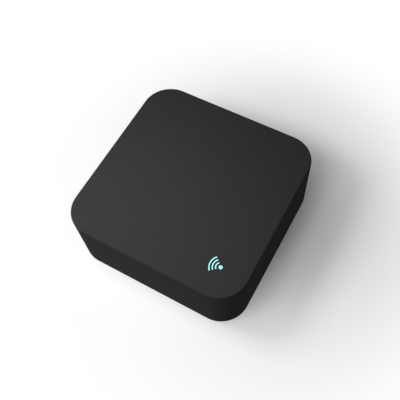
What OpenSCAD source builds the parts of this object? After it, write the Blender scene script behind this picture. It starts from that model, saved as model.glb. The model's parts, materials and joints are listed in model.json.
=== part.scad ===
// Smart infrared blaster: a square table-top hub that repeats remote control codes.
// Millimetres. +Z up, -Y front (the status symbol reads upright from there), origin on the
// surface that the feet stand on, under the middle of the case.

/* [Case] */
// Width and depth of the square case
body_w = 58; // [56:1:72]
// Height from the table to the top face
body_h = 22; // [20:0.5:30]
// Plan radius of the four upright corners
corner_r = 9; // [7:0.5:11]
// Rounding where the top meets the sides
edge_r = 0.5; // [0.2:0.1:1]
// Thickness of the side walls
wall_t = 1.8; // [1.5:0.1:2.4]
// Thickness of the roof
roof_t = 1.6; // [1.2:0.1:2.4]
// How far the feet hold the skirt off the table
foot_stand = 0.4; // [0.2:0.1:1]

/* [Base] */
// Thickness of the base plate
base_t = 1.8; // [1.6:0.1:2.6]
// How far the base plate sits up inside the skirt
base_inset = 0.3; // [0.1:0.1:0.8]
// Gap between the base plate and the skirt, all round
skirt_gap = 0.15; // [0.1:0.05:0.3]
// Height of the rim that stands on the base plate
rim_h = 1; // [0.8:0.1:1.6]
// Thickness of the rim and of the snap hooks
rim_t = 1; // [0.8:0.1:1.3]
// Height of the posts that carry the board
standoff_h = 4.3; // [4:0.1:6]
// Width of one snap hook
hook_w = 5; // [3:0.5:6]
// How far a hook's barb bites into the wall
hook_bite = 0.5; // [0.3:0.1:0.7]
// Radius of a rubber foot
foot_r = 3.5; // [2.5:0.5:4]
// Depth of the pocket that a foot is glued into
foot_pocket = 0.6; // [0.4:0.1:0.8]

/* [Status light] */
// Distance of the symbol's dot from the left side
symbol_from_left = 9.1; // [8.5:0.1:12]
// Distance of the symbol's dot from the front side
symbol_from_front = 8.6; // [7.5:0.1:11]
// Radius of the dot
dot_r = 0.68; // [0.5:0.02:0.9]
// Width of the arcs' lines
line_w = 0.52; // [0.4:0.02:0.7]
// Radius of the first arc's centre line
arc_first_r = 1.4; // [1.3:0.05:1.8]
// Step from one arc to the next
arc_pitch = 0.97; // [0.85:0.01:1.1]
// Number of arcs
arc_count = 3; // [1:1:3]

/* [Board] */
// Thickness of the main board
board_t = 1.2; // [0.8:0.1:1.6]
// Gap between the main board and the walls
board_gap = 1.2; // [1.1:0.1:1.8]

/* [Emitters] */
// Radius of an emitter's lens
lens_r = 2.5; // [1.5:0.1:2.5]
// Length of an emitter from its back face to the tip of its lens
lens_l = 8.6; // [6:0.1:8.8]
// Free space between a lens and the wall
lens_gap = 0.8; // [0.5:0.1:1.5]

/* [Reset button] */
// Radius of the button
button_r = 1.5; // [1:0.1:1.8]
// Travel of the button
button_travel = 0.25; // [0.1:0.05:0.4]

/* [Power socket] */
// Width of the recess round the socket's mouth
recess_w = 11; // [9.5:0.5:12]
// Height of the recess round the socket's mouth
recess_h = 6; // [4.5:0.5:7]
// Depth of the recess
recess_t = 0.9; // [0.6:0.1:1]

/* [Hidden] */
$fn = 64;

// One overrun for all cuts, and the hairline that separates pieces moulded to fit
overrun = 1;
hairline = 0.02;

// Outer height of the power socket's shell and of the switch, whose axes line up
socket_h = 2.5;

// Levels, from the table up
skirt_z = foot_stand;
shell_h = body_h - skirt_z;
base_z = skirt_z + base_inset;
base_top = base_z + base_t;
rim_top = base_top + rim_h;
board_z = base_top + standoff_h;
board_top = board_z + board_t;
port_z = board_top + socket_h / 2;
roof_z = body_h - roof_t;

// Half widths, from the outside in
half_w = body_w / 2;
inner_half = half_w - wall_t;
inner_r = corner_r - wall_t;
base_half = inner_half - skirt_gap;
base_r = inner_r - skirt_gap;
board_half = inner_half - board_gap;
board_r = inner_r - board_gap;

// Ribs on the walls that rest on the rim and centre the board
rib_w = 1.2;
rib_fit = 0.2;
rib_d = board_gap - rib_fit;
rib_place_share = 0.31;
rib_place = rib_place_share * board_half;

// Snap hooks on the rim, two on each side
hook_place_share = 0.58;
hook_place = hook_place_share * board_half;
hook_clear = 0.5;
hook_top = board_z - hook_clear;
barb_h = 1.6;
barb_land = 0.4;
barb_z = hook_top - barb_h;
pocket_gap = 0.15;

// Screws, posts and pins that hold the board
screw_inset = 4.5;
screw_place = board_half - screw_inset;
screw_row_share = 0.4;
screw_row = screw_row_share * board_half;
screw_r = 0.95;
screw_fit = 0.02;
screw_l = 5.2;
screw_tip = 0.8;
screw_head_r = 1.9;
screw_head_h = 1.3;
screw_head_dome = 0.7;
screw_slot_w = 0.5;
screw_slot_l = 2.2;
screw_slot_t = 0.7;
screw_clearance = 0.3;
post_r = 2.4;
post_floor = 0.3;
gusset_l = 3.4;
gusset_t = 0.8;
gusset_drop = 1.5;
pin_r = 1;
pin_fit = 0.12;
pin_rise = 0.5;
pin_inset = 3.8;
pin_gap = 3.5;

// Feet and the bare recess in the middle of the base plate
foot_inset = 7.6;
foot_place = base_half - foot_inset;
foot_edge = 0.3;
foot_fit = 0.1;
floor_recess_w = 26;
floor_recess_d = 16;
floor_recess_r = 2;
floor_recess_t = 0.25;

// Status light: symbol, light guide, sleeve and lamp
symbol_x = symbol_from_left - half_w;
symbol_y = symbol_from_front - half_w;
arc_span = 90;
arc_last_r = arc_first_r + (arc_count - 1) * arc_pitch;
guide_margin = 1.1;
guide_side_share = 0.71;
guide_w = 2 * guide_side_share * (arc_last_r + line_w / 2) + 2 * guide_margin;
guide_d = dot_r + arc_last_r + line_w / 2 + 2 * guide_margin;
guide_y = symbol_y + (arc_last_r + line_w / 2 - dot_r) / 2;
guide_t = 1;
guide_r = 0.8;
stem_r = 2.1;
stem_tip_r = 1.5;
stem_gap = 0.3;
sleeve_fit = 0.35;
sleeve_t = 0.8;
frame_fit = 0.1;
frame_t = 0.7;
frame_h = 1.4;
lamp_w = 3.5;
lamp_d = 2.8;
lamp_h = 1.9;
lamp_lens_r = 1.15;
lamp_lens_t = 0.4;

// Reset button and the switch behind it, on the straight part of the back
button_share = 0.55;
button_x = button_share * (half_w - corner_r);
dish_r = 2.6;
dish_t = 0.3;
button_fit = 0.12;
button_seat = 0.05;
flange_r = 2.3;
flange_t = 0.8;
nub_r = 0.9;
nub_l = 0.35;
finger_r = 4;
finger_share = 0.8;
notch_gap = 0.3;
plunger_gap = 0.05;
plunger_out = 1;
plunger_in = 0.9;
plunger_w = 2.4;
plunger_h = 1.2;
plunger_fit = 0.1;
switch_w = 6;
switch_d = 4;
switch_h = socket_h;
switch_front = inner_half - button_seat - flange_t - nub_l - plunger_gap - plunger_out;
cavity_w = 3.2;
cavity_h = 1.9;
dome_r = 0.9;
dome_t = 0.12;
dome_gap = 0.05;
dome_tip = switch_front - plunger_in - button_travel - dome_gap;
cavity_end = dome_tip - 3 * dome_t;
frame_sheet_t = 0.2;
frame_tab_w = 1.2;
frame_tab_h = 1.2;
terminal_w = 0.8;
terminal_l = 1.2;
terminal_t = 0.2;

// Power socket, from its mouth back
mouth_y = half_w - recess_t;
socket_w = 7.5;
socket_l = 5.6;
socket_t = 0.3;
socket_bevel = 0.9;
socket_fit = 0.15;
recess_r = 1.4;
slot_r = 0.4;
core_l = 1.6;
core_fit = 0.02;
tongue_w = 3.7;
tongue_h = 0.7;
tongue_l = 3.2;
tongue_rise = 0.25;
socket_back = mouth_y - socket_l;
tongue_tip = socket_back + core_l + tongue_l;
contact_count = 5;
contact_pitch = 0.65;
contact_w = 0.3;
contact_t = 0.12;
contact_inset = 0.3;
tail_l = 0.9;
tail_gap = 1.2;
ear_l = 1.3;
ear_t = 0.3;
ear_drop = 0.5;
ear_slot_fit = 0.15;
ear_place_share = 0.7;
ear_y = mouth_y - ear_place_share * socket_l;
window_w = 0.9;
window_l = 1.4;
window_x = 1.8;
window_inset = 1.4;

// Emitters, receiver and their leads
flange_step = 0.4;
flange_l = 1;
flange_flat = 0.3;
lead_t = 0.5;
lead_pitch = 2.54;
lead_back = 1.2;
lead_below = 1.4;
lead_hole_r = 0.45;
lens_lift = 0.1;
lens_z = board_top + lens_r + flange_step + lens_lift;
up_lift = 1;
solder_r = 0.8;
solder_tip_r = 0.45;
solder_h = 0.9;
side_back = inner_half - lens_gap - lens_l;
corner_back = (half_w - corner_r) * sqrt(2) + inner_r - lens_gap - lens_l;
corner_turn = 45;
front_turn = -90;
left_turn = 180;
right_turn = 0;
receiver_w = 5.8;
receiver_d = 3;
receiver_h = 6.8;
receiver_lift = 1.4;
receiver_bulge_r = 2.3;
receiver_bulge_rise = 3.6;
receiver_bevel = 0.8;
receiver_inset = 3;

// Turn of each horizontal emitter about the case's axis, and distance of its back face
EMITTERS = [
    [front_turn, side_back],
    [left_turn, side_back],
    [right_turn, side_back],
    [right_turn - corner_turn, corner_back],
    [left_turn - corner_turn, corner_back],
    [right_turn + corner_turn, corner_back]
];

// Radio module, behind the left emitter's leads and in front of the socket
part_gap = 0.6;
radio_w = 15;
radio_d = 18;
radio_t = 0.8;
radio_side_gap = 1.2;
radio_back_gap = 2.5;
radio_left = lead_back + radio_side_gap - side_back;
radio_right = radio_left + radio_w;
radio_back = socket_back - radio_back_gap;
radio_front = radio_back - radio_d;
radio_x = (radio_left + radio_right) / 2;
radio_y = (radio_back + radio_front) / 2;
shield_h = 2.2;
shield_t = 0.2;
shield_inset = 1.1;
shield_r = 0.5;
shield_gap = 0.9;
chip_w = 5;
chip_h = 0.85;
antenna_line = 0.5;
antenna_t = 0.08;
antenna_inset = 1.2;
antenna_turns = 5;
antenna_reach = 3.9;
shield_w = radio_w - 2 * shield_inset;
shield_d = radio_d - shield_inset - antenna_inset - antenna_reach - shield_gap;
joint_pitch = 2;
joint_w = 0.9;
joint_l = 0.5;
joint_first = 1.6;
joint_count = floor((radio_d - 2 * joint_first) / joint_pitch) + 1;

// The upright emitter heads the column of parts that stands right of the radio module
up_share = -0.12;
up_x = radio_right + joint_l + part_gap + lens_r + flange_step;
up_y = up_share * board_half;

// Supply parts
regulator_w = 6.5;
regulator_d = 3.5;
regulator_h = 1.6;
regulator_lift = 0.1;
regulator_bevel = 0.25;
regulator_tab_w = 3;
regulator_leg_w = 0.7;
regulator_leg_pitch = 2.3;
leg_l = 1.5;
leg_t = 0.25;
leg_rise = 0.7;
regulator_x = radio_right + joint_l + part_gap + regulator_w / 2;
regulator_y = up_y + lens_r + flange_step + part_gap + leg_l + regulator_d / 2;
can_r = 2.5;
can_h = 5.4;
can_groove = 0.25;
can_groove_z = 1.1;
can_round = 0.4;
can_base_w = 5.3;
can_base_t = 0.8;
can_base_cut = 1;
can_x = radio_right + joint_l + part_gap + can_base_w / 2;
can_y = regulator_y + regulator_d / 2 + leg_l + part_gap + can_base_w / 2;
diode_w = 4.3;
diode_d = 2.6;
diode_h = 2;
diode_lift = 0.1;
diode_x = -(socket_w + ear_t + diode_w) / 2 - leg_t - part_gap;
diode_y = socket_back + diode_d / 2;

// Receiver, beside the front emitter
receiver_x = -(lens_r + flange_step + part_gap + receiver_w / 2);
receiver_y = receiver_inset - side_back;
receiver_pitch = lead_pitch / 2 + lead_t;

// Driver transistors in front of the upright emitter, and two rows of chip parts
transistor_count = 3;
transistor_w = 2.9;
transistor_d = 1.3;
transistor_h = 1;
transistor_lift = 0.1;
transistor_leg_w = 0.4;
transistor_leg_l = 0.55;
transistor_leg_pitch = 0.95;
transistor_pitch = 3.5;
transistor_y = up_y - lens_r - flange_step - part_gap - transistor_leg_l - transistor_d / 2;
chip_part_l = 2;
chip_part_w = 1.25;
resistor_h = 0.55;
capacitor_h = 0.9;
cap_end_l = 0.4;
resistor_count = 7;
resistor_pitch = 1.62;
resistor_x = receiver_x - receiver_w / 2 + chip_part_w / 2;
resistor_y = receiver_y + receiver_d / 2 + part_gap + chip_part_l / 2;
resistor_end = resistor_x + (resistor_count - 1) * resistor_pitch + chip_part_w / 2;
capacitor_count = 4;
capacitor_x = radio_left + chip_part_w;
capacitor_y = radio_front - part_gap - chip_part_l / 2;
transistor_x = resistor_end + part_gap + transistor_w / 2;

// Colours
charcoal = [0.2, 0.2, 0.2];
rubber_black = [0.08, 0.08, 0.08];
lit_cyan = [0.55, 0.95, 0.95];
board_green = [0.05, 0.3, 0.15];
steel = [0.75, 0.76, 0.78];
tin = [0.82, 0.82, 0.8];
gold = [0.85, 0.68, 0.3];
lens_blue = [0.75, 0.8, 0.95];
epoxy_black = [0.1, 0.1, 0.11];
ceramic_white = [0.9, 0.9, 0.86];
ceramic_tan = [0.7, 0.55, 0.38];

// A flat square plate, centred, with round corners
module round_plate(half, r, h) {
    round_slab(2 * half, 2 * half, r, h);
}

// A flat slab w by d, centred, with round corners
module round_slab(w, d, r, h) {
    linear_extrude(h) {
        square([w - 2 * r, d], center = true);
        square([w, d - 2 * r], center = true);
        for (x = [-1, 1], y = [-1, 1])
            translate([x * (w / 2 - r), y * (d / 2 - r)]) circle(r);
    }
}

// The upright half section of a wall block: r wide, h high, its outer top corner rounded
module edge_section(r, e, h) {
    square([r, h - e]);
    square([r - e, h]);
    translate([r - e, h - e]) circle(e);
}

// A square block with round upright corners and a small rounding round its top
module soft_block(half, r, e, h) {
    side = half - r;
    translate([-side, -side, 0]) cube([2 * side, 2 * side, h]);
    for (turn = [0:90:270])
        rotate([0, 0, turn]) {
            translate([side, side, 0]) rotate_extrude(angle = 90) edge_section(r, e, h);
            translate([side, side, 0]) rotate([90, 0, 0])
                linear_extrude(2 * side) edge_section(r, e, h);
        }
}

// Places children at the four mirrored corners of an x by y grid
module four_places(x, y) {
    for (i = [-1, 1], j = [-1, 1]) translate([i * x, j * y, 0]) children();
}

// Turns children to each side of the square, twice along it at plus and minus place.
// A child is drawn with its outer side towards +X.
module each_side(place) {
    for (turn = [0:90:270], s = [-1, 1])
        rotate([0, 0, turn]) translate([0, s * place, 0]) children();
}

// A box that spans w in X centred, from y0 to y1, and from z0 to z1
module block(w, y0, y1, z0, z1) {
    translate([-w / 2, y0, z0]) cube([w, y1 - y0, z1 - z0]);
}

// The status symbol, standing on z = 0 with its dot at the origin, grown all round
module signal_symbol(h, grow) {
    cylinder(r = dot_r + grow, h = h);
    for (i = [0:arc_count - 1]) {
        r = arc_first_r + i * arc_pitch;
        rotate([0, 0, 90 - arc_span / 2])
            rotate_extrude(angle = arc_span)
                translate([r - line_w / 2 - grow, 0]) square([line_w + 2 * grow, h]);
        for (side = [-1, 1])
            rotate([0, 0, 90 + side * arc_span / 2]) translate([r, 0, 0])
                cylinder(r = line_w / 2 + grow, h = h);
    }
}

// Outline of the socket's shell in X and Z, its two lower corners bevelled
module socket_outline(inset) {
    w = socket_w / 2 - inset;
    h = socket_h / 2 - inset;
    b = socket_bevel;
    polygon([[-w, h], [w, h], [w, b - h], [w - b, -h], [b - w, -h], [-w, b - h]]);
}

// Draws a child outline of X and Z from y0 to y1 about the socket's axis
module along_socket(y0, y1) {
    translate([0, y1, port_z]) rotate([90, 0, 0]) linear_extrude(y1 - y0) children();
}

// Case pieces

module top_cover() {
    color(charcoal) difference() {
        union() {
            difference() {
                translate([0, 0, skirt_z]) soft_block(half_w, corner_r, edge_r, shell_h);
                translate([0, 0, skirt_z - overrun])
                    round_plate(inner_half, inner_r, shell_h - roof_t + overrun);
            }
            at_ribs() seat_rib();
            guide_frame();
        }
        translate([symbol_x, symbol_y, roof_z - overrun])
            signal_symbol(roof_t + 2 * overrun, hairline);
        each_side(hook_place) hook_pocket();
        socket_cut();
        button_cut();
    }
}

// Turns children to two places on each side of the square but the one next to the button
module at_ribs() {
    button_turn = 90;
    for (turn = [0:90:270], s = [-1, 1])
        if (turn != button_turn || s > 0)
            rotate([0, 0, turn]) translate([0, s * rib_place, 0]) children();
}

// A rib inside a wall: it rests on the rim and its edge centres the board
module seat_rib() {
    translate([inner_half - rib_d, -rib_w / 2, rim_top])
        cube([rib_d + wall_t / 2, rib_w, roof_z + roof_t / 2 - rim_top]);
}

// A pocket in the wall for the barb of one hook
module hook_pocket() {
    depth = hook_bite + pocket_gap - skirt_gap;
    translate([inner_half - overrun, -hook_w / 2 - pocket_gap, barb_z - pocket_gap])
        cube([overrun + depth, hook_w + 2 * pocket_gap, barb_h + 2 * pocket_gap]);
}

// A low frame under the roof that the light guide's head drops into
module guide_frame() {
    grow = frame_fit + frame_t;
    translate([symbol_x, guide_y, roof_z - frame_h]) difference() {
        round_slab(guide_w + 2 * grow, guide_d + 2 * grow, guide_r + grow,
            frame_h + roof_t / 2);
        translate([0, 0, -overrun])
            round_slab(guide_w + 2 * frame_fit, guide_d + 2 * frame_fit,
                guide_r + frame_fit, frame_h + overrun);
    }
}

// The recess in the back and the slot that the socket's mouth stands in
module socket_cut() {
    translate([0, half_w + overrun, port_z]) rotate([90, 0, 0]) {
        round_slab(recess_w, recess_h, recess_r, recess_t + overrun);
        round_slab(socket_w + 2 * socket_fit, socket_h + 2 * socket_fit, slot_r,
            wall_t + 2 * overrun);
    }
}

// The button's hole and the shallow dish round it
module button_cut() {
    translate([button_x, half_w + overrun, port_z]) rotate([90, 0, 0]) {
        cylinder(r = button_r + button_fit, h = wall_t + 2 * overrun);
        cylinder(r = dish_r, h = dish_t + overrun);
    }
}

module base_plate() {
    color(charcoal) difference() {
        union() {
            translate([0, 0, base_z]) round_plate(base_half, base_r, base_t);
            base_rim();
            each_side(hook_place) snap_hook();
            four_places(screw_place, screw_row) board_post();
            for (place = pin_places()) translate(place) locating_pin();
        }
        for (x = [-1, 1], y = [-1, 1])
            translate([x * foot_place, y * foot_place, base_z - overrun])
                cylinder(r = foot_r + foot_fit, h = foot_pocket + overrun);
        translate([0, 0, base_z - overrun])
            round_slab(floor_recess_w, floor_recess_d, floor_recess_r,
                floor_recess_t + overrun);
        four_places(screw_place, screw_row)
            translate([0, 0, board_top - screw_l - post_floor])
                cylinder(r = screw_r + screw_fit, h = screw_l + overrun);
    }
}

// The rim that stiffens the plate and carries the hooks
module base_rim() {
    translate([0, 0, base_top - base_t / 2]) difference() {
        round_plate(base_half, base_r, base_t / 2 + rim_h);
        translate([0, 0, -overrun])
            round_plate(base_half - rim_t, base_r - rim_t, base_t + rim_h + 2 * overrun);
    }
}

// One snap hook: a springy arm with a barb that slopes at its top
module snap_hook() {
    translate([base_half - rim_t, -hook_w / 2, base_top - base_t / 2])
        cube([rim_t, hook_w, hook_top - base_top + base_t / 2]);
    translate([base_half - rim_t / 2, hook_w / 2, barb_z]) rotate([90, 0, 0])
        linear_extrude(hook_w)
            polygon([
                [0, 0], [rim_t / 2 + hook_bite, 0], [rim_t / 2 + hook_bite, barb_land],
                [rim_t / 2, barb_h], [0, barb_h]
            ]);
}

// A post for one board screw, with two gussets
module board_post() {
    translate([0, 0, base_top - base_t / 2])
        cylinder(r = post_r, h = board_z - base_top + base_t / 2);
    for (turn = [0, 90])
        rotate([0, 0, turn])
            translate([-gusset_l, -gusset_t / 2, base_top - base_t / 2])
                cube([2 * gusset_l, gusset_t, standoff_h - gusset_drop + base_t / 2]);
}

// A pin that the board drops over
module locating_pin() {
    translate([0, 0, base_top - base_t / 2])
        cylinder(r = pin_r + pin_r / 2, h = standoff_h + base_t / 2);
    translate([0, 0, base_top])
        cylinder(r = pin_r, h = standoff_h + board_t + pin_rise);
}

function pin_places() = [
    [lens_r + flange_step + pin_gap + pin_r, pin_inset - board_half, 0],
    [-socket_w / 2 - pin_r - part_gap, socket_back - tail_gap, 0]
];

// A rubber foot, glued into its pocket
module foot(x, y) {
    foot_h = base_z + foot_pocket;
    color(rubber_black) translate([x * foot_place, y * foot_place, 0])
        rotate_extrude() {
            translate([0, foot_edge]) square([foot_r, foot_h - foot_edge]);
            square([foot_r - foot_edge, foot_h]);
            translate([foot_r - foot_edge, foot_edge]) circle(foot_edge);
        }
}

module board_screws() {
    color(steel) four_places(screw_place, screw_row) board_screw();
}

// One pan head screw with a cross recess
module board_screw() {
    difference() {
        union() {
            translate([0, 0, board_top]) rotate_extrude() screw_head_section();
            translate([0, 0, board_top - screw_l + screw_tip])
                cylinder(r = screw_r, h = screw_l - screw_tip);
            translate([0, 0, board_top - screw_l])
                cylinder(r1 = screw_r / 3, r2 = screw_r, h = screw_tip);
        }
        for (turn = [0, 90])
            rotate([0, 0, turn])
                translate([-screw_slot_l / 2, -screw_slot_w / 2,
                    board_top + screw_head_h - screw_slot_t])
                    cube([screw_slot_l, screw_slot_w, screw_slot_t + overrun]);
    }
}

// Half section of a screw head: a straight band under a cone that narrows to a flat
module screw_head_section() {
    band = screw_head_h - screw_head_dome;
    polygon([
        [0, 0], [screw_head_r, 0], [screw_head_r, band],
        [screw_head_r - screw_head_dome / 2, screw_head_h], [0, screw_head_h]
    ]);
}

// The main board and what passes through it

module main_board() {
    color(board_green) difference() {
        translate([0, 0, board_z]) round_plate(board_half, board_r, board_t);
        four_places(screw_place, screw_row) board_hole(screw_r + screw_clearance);
        for (place = pin_places()) translate(place) board_hole(pin_r + pin_fit);
        at_leads() board_hole(lead_hole_r);
        at_ears()
            block(ear_t + 2 * ear_slot_fit, ear_y - ear_l / 2 - ear_slot_fit,
                ear_y + ear_l / 2 + ear_slot_fit, board_z - overrun, board_top + overrun);
        button_notch();
    }
}

// A shallow notch in the board's edge that the button's flange travels in
module button_notch() {
    y = inner_half - button_seat - flange_t - button_travel - notch_gap;
    translate([button_x, 0, 0])
        block(2 * (flange_r + notch_gap), y, half_w, board_z - overrun,
            board_top + overrun);
}

module board_hole(r) {
    translate([0, 0, board_z - overrun]) cylinder(r = r, h = board_t + 2 * overrun);
}

// Places children at every lead that passes through the board
module at_leads() {
    for (e = EMITTERS, s = [-1, 1])
        rotate([0, 0, e[0]]) translate([e[1] - lead_back, s * lead_pitch / 2, 0]) children();
    for (s = [-1, 1])
        translate([up_x + s * lead_pitch / 2, up_y, 0]) children();
    for (s = [-1:1])
        translate([receiver_x + s * receiver_pitch, receiver_y, 0]) children();
}

// Status light

module status_light_guide() {
    lamp_top = board_top + lamp_h;
    color(lit_cyan) union() {
        translate([symbol_x, symbol_y, roof_z - guide_t / 2])
            signal_symbol(roof_t + guide_t / 2, 0);
        translate([symbol_x, guide_y, roof_z - guide_t])
            round_slab(guide_w, guide_d, guide_r, guide_t);
        translate([symbol_x, guide_y, lamp_top + stem_gap])
            cylinder(r1 = stem_tip_r, r2 = stem_r,
                h = roof_z - guide_t / 2 - lamp_top - stem_gap);
    }
}

// A dark foam sleeve that keeps the lamp's light in the guide
module light_sleeve() {
    inner = stem_r + sleeve_fit;
    color(rubber_black) translate([symbol_x, guide_y, board_top]) difference() {
        cylinder(r = inner + sleeve_t, h = roof_z - guide_t - board_top);
        translate([0, 0, -overrun]) cylinder(r = inner, h = body_h);
    }
}

module status_led() {
    color(ceramic_white) translate([symbol_x, guide_y, board_top]) difference() {
        translate([-lamp_w / 2, -lamp_d / 2, 0]) cube([lamp_w, lamp_d, lamp_h]);
        translate([0, 0, lamp_h - lamp_lens_t])
            cylinder(r = lamp_lens_r, h = lamp_lens_t + overrun);
    }
}

module status_led_lens() {
    color(lit_cyan) translate([symbol_x, guide_y, board_top + lamp_h - lamp_lens_t])
        cylinder(r = lamp_lens_r - hairline, h = lamp_lens_t);
}

// Reset button and switch, drawn about the button's axis

module reset_button() {
    color(rubber_black) translate([button_x, half_w, port_z]) rotate([90, 0, 0])
        difference() {
            union() {
                cylinder(r = button_r, h = wall_t + button_seat + flange_t / 2);
                translate([0, 0, wall_t + button_seat]) cylinder(r = flange_r, h = flange_t);
                translate([0, 0, wall_t + button_seat])
                    cylinder(r = nub_r, h = flange_t + nub_l);
            }
            finger_dish();
        }
}

// A shallow hollow in the button's face
module finger_dish() {
    rim = finger_share * button_r;
    rise = sqrt(finger_r * finger_r - rim * rim);
    translate([0, 0, -rise]) sphere(finger_r);
}

module switch_body() {
    color(epoxy_black) translate([button_x, 0, 0]) difference() {
        block(switch_w, switch_front - switch_d, switch_front, board_top,
            board_top + switch_h);
        block(plunger_w + 2 * plunger_fit, switch_front - plunger_in,
            switch_front + overrun,
            port_z - plunger_h / 2 - plunger_fit, port_z + plunger_h / 2 + plunger_fit);
        block(cavity_w, cavity_end, switch_front - plunger_in / 2,
            port_z - cavity_h / 2, port_z + cavity_h / 2);
    }
}

// The pressed steel cover of the switch, with two tabs that clip down its sides
module switch_frame() {
    top = board_top + switch_h;
    color(steel) translate([button_x, 0, 0]) {
        block(switch_w + 2 * frame_sheet_t, switch_front - switch_d, switch_front,
            top, top + frame_sheet_t);
        for (s = [-1, 1])
            translate([s * (switch_w + frame_sheet_t) / 2, 0, 0])
                block(frame_sheet_t, switch_front - switch_d / 2 - frame_tab_w / 2,
                    switch_front - switch_d / 2 + frame_tab_w / 2,
                    top - frame_tab_h, top + frame_sheet_t);
    }
}

module switch_plunger() {
    color(ceramic_white) translate([button_x, 0, 0])
        block(plunger_w, switch_front - plunger_in, switch_front + plunger_out,
            port_z - plunger_h / 2, port_z + plunger_h / 2);
}

// The snap disc that gives the click and pushes the plunger back
module switch_dome() {
    color(steel) translate([button_x, dome_tip - dome_t, port_z]) rotate([-90, 0, 0])
        rotate_extrude() polygon([
            [0, 0], [dome_r, -2 * dome_t], [dome_r, -dome_t], [dome_r / 2, dome_t / 2],
            [0, dome_t]
        ]);
}

module switch_terminals() {
    color(tin) translate([button_x, 0, 0])
        for (x = [-1, 1], y = [0, 1])
            translate([x * (switch_w / 2 + frame_sheet_t + terminal_l / 2), 0, 0])
                block(terminal_l,
                    switch_front - switch_d + y * (switch_d - terminal_w),
                    switch_front - switch_d + y * (switch_d - terminal_w) + terminal_w,
                    board_top, board_top + terminal_t);
}

// Power socket

// Moves children to the two sides of the socket's shell
module at_ears() {
    for (s = [-1, 1]) translate([s * socket_w / 2, 0, 0]) children();
}

module power_socket_shell() {
    color(steel) difference() {
        union() {
            along_socket(socket_back, mouth_y) difference() {
                socket_outline(0);
                socket_outline(socket_t);
            }
            at_ears() block(ear_t, ear_y - ear_l / 2, ear_y + ear_l / 2,
                board_z - ear_drop, port_z);
        }
        for (s = [-1, 1])
            translate([s * window_x, 0, 0])
                block(window_w, mouth_y - window_inset - window_l,
                    mouth_y - window_inset, port_z, port_z + socket_h);
    }
}

// The plastic core: a block that closes the shell's back, and the tongue
module power_socket_core() {
    z = port_z + tongue_rise;
    color(epoxy_black) difference() {
        union() {
            along_socket(socket_back, socket_back + core_l)
                socket_outline(socket_t + core_fit);
            block(tongue_w, socket_back + core_l / 2, tongue_tip, z - tongue_h / 2,
                z + tongue_h / 2);
        }
        at_contacts() contact_strip(core_fit);
    }
}

// Five contacts: a strip under the tongue, a drop behind the core, a tail on the board
module power_socket_contacts() {
    color(gold) at_contacts() union() {
        contact_strip(0);
        block(contact_w, socket_back - contact_t, socket_back, board_top,
            contact_z());
        block(contact_w, socket_back - tail_l, socket_back, board_top,
            board_top + contact_t);
    }
}

module at_contacts() {
    for (i = [0:contact_count - 1])
        translate([(i - (contact_count - 1) / 2) * contact_pitch, 0, 0]) children();
}

// The level stretch of one contact, grown all round by a fit
module contact_strip(grow) {
    block(contact_w + 2 * grow, socket_back - contact_t, tongue_tip - contact_inset,
        contact_z() - contact_t - grow, contact_z() + grow);
}

function contact_z() = port_z + tongue_rise - tongue_h / 2;

// Emitters, receiver and their leads

// An emitter that points away from the case's axis: e is its turn and its back's distance
module ir_emitter(e) {
    color(lens_blue) rotate([0, 0, e[0]]) translate([e[1], 0, lens_z]) rotate([0, 90, 0])
        emitter_lens();
}

module ir_emitter_up() {
    color(lens_blue) translate([up_x, up_y, board_top + up_lift]) emitter_lens();
}

// The clear lens of an emitter along +Z: a flange with one flat, a barrel and a dome
module emitter_lens() {
    flange = lens_r + flange_step;
    difference() {
        union() {
            cylinder(r = flange, h = flange_l);
            cylinder(r = lens_r, h = lens_l - lens_r);
            translate([0, 0, lens_l - lens_r]) sphere(lens_r);
        }
        translate([-flange, lens_r + flange_step - flange_flat, -overrun])
            cube([2 * flange, flange, flange_l + 2 * overrun]);
    }
}

module emitter_leads() {
    color(tin) {
        for (e = EMITTERS, s = [-1, 1])
            rotate([0, 0, e[0]]) translate([e[1], s * lead_pitch / 2, 0]) bent_lead();
        for (s = [-1, 1])
            translate([up_x + s * lead_pitch / 2, up_y, 0])
                straight_lead(board_top + up_lift);
    }
}

// A lead that leaves a horizontal emitter's back and bends down through the board
module bent_lead() {
    translate([-lead_back - lead_t / 2, -lead_t / 2, lens_z - lead_t / 2])
        cube([lead_back + lead_t / 2, lead_t, lead_t]);
    translate([-lead_back, 0, 0]) straight_lead(lens_z + lead_t / 2);
}

// An upright square lead from below the board up to a level
module straight_lead(top) {
    translate([-lead_t / 2, -lead_t / 2, board_z - lead_below])
        cube([lead_t, lead_t, top - board_z + lead_below]);
}

// The receiver's black body, its front corners bevelled and a round lens on its front
module ir_receiver() {
    w = receiver_w / 2;
    d = receiver_d / 2;
    b = receiver_bevel;
    color(epoxy_black) translate([receiver_x, receiver_y, board_top + receiver_lift])
        union() {
            linear_extrude(receiver_h)
                polygon([[-w, d], [w, d], [w, b - d], [w - b, -d], [b - w, -d], [-w, b - d]]);
            translate([0, b - d, receiver_bulge_rise]) sphere(receiver_bulge_r);
        }
}

module receiver_leads() {
    color(tin) for (s = [-1:1])
        translate([receiver_x + s * receiver_pitch, receiver_y, 0])
            straight_lead(board_top + receiver_lift);
}

// A cone of solder under the board round every lead
module lead_solder_joints() {
    color(tin) at_leads() difference() {
        translate([0, 0, board_z - solder_h])
            cylinder(r1 = solder_tip_r, r2 = solder_r, h = solder_h);
        translate([-lead_t / 2 - hairline, -lead_t / 2 - hairline, board_z - lead_below])
            cube([lead_t + 2 * hairline, lead_t + 2 * hairline, lead_below + overrun]);
    }
}

// Radio module

module radio_board() {
    color(board_green) translate([radio_x, radio_y, board_top])
        block(radio_w, -radio_d / 2, radio_d / 2, 0, radio_t);
}

function radio_top() = board_top + radio_t;
function shield_y() = radio_y + radio_d / 2 - shield_inset - shield_d / 2;

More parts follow.
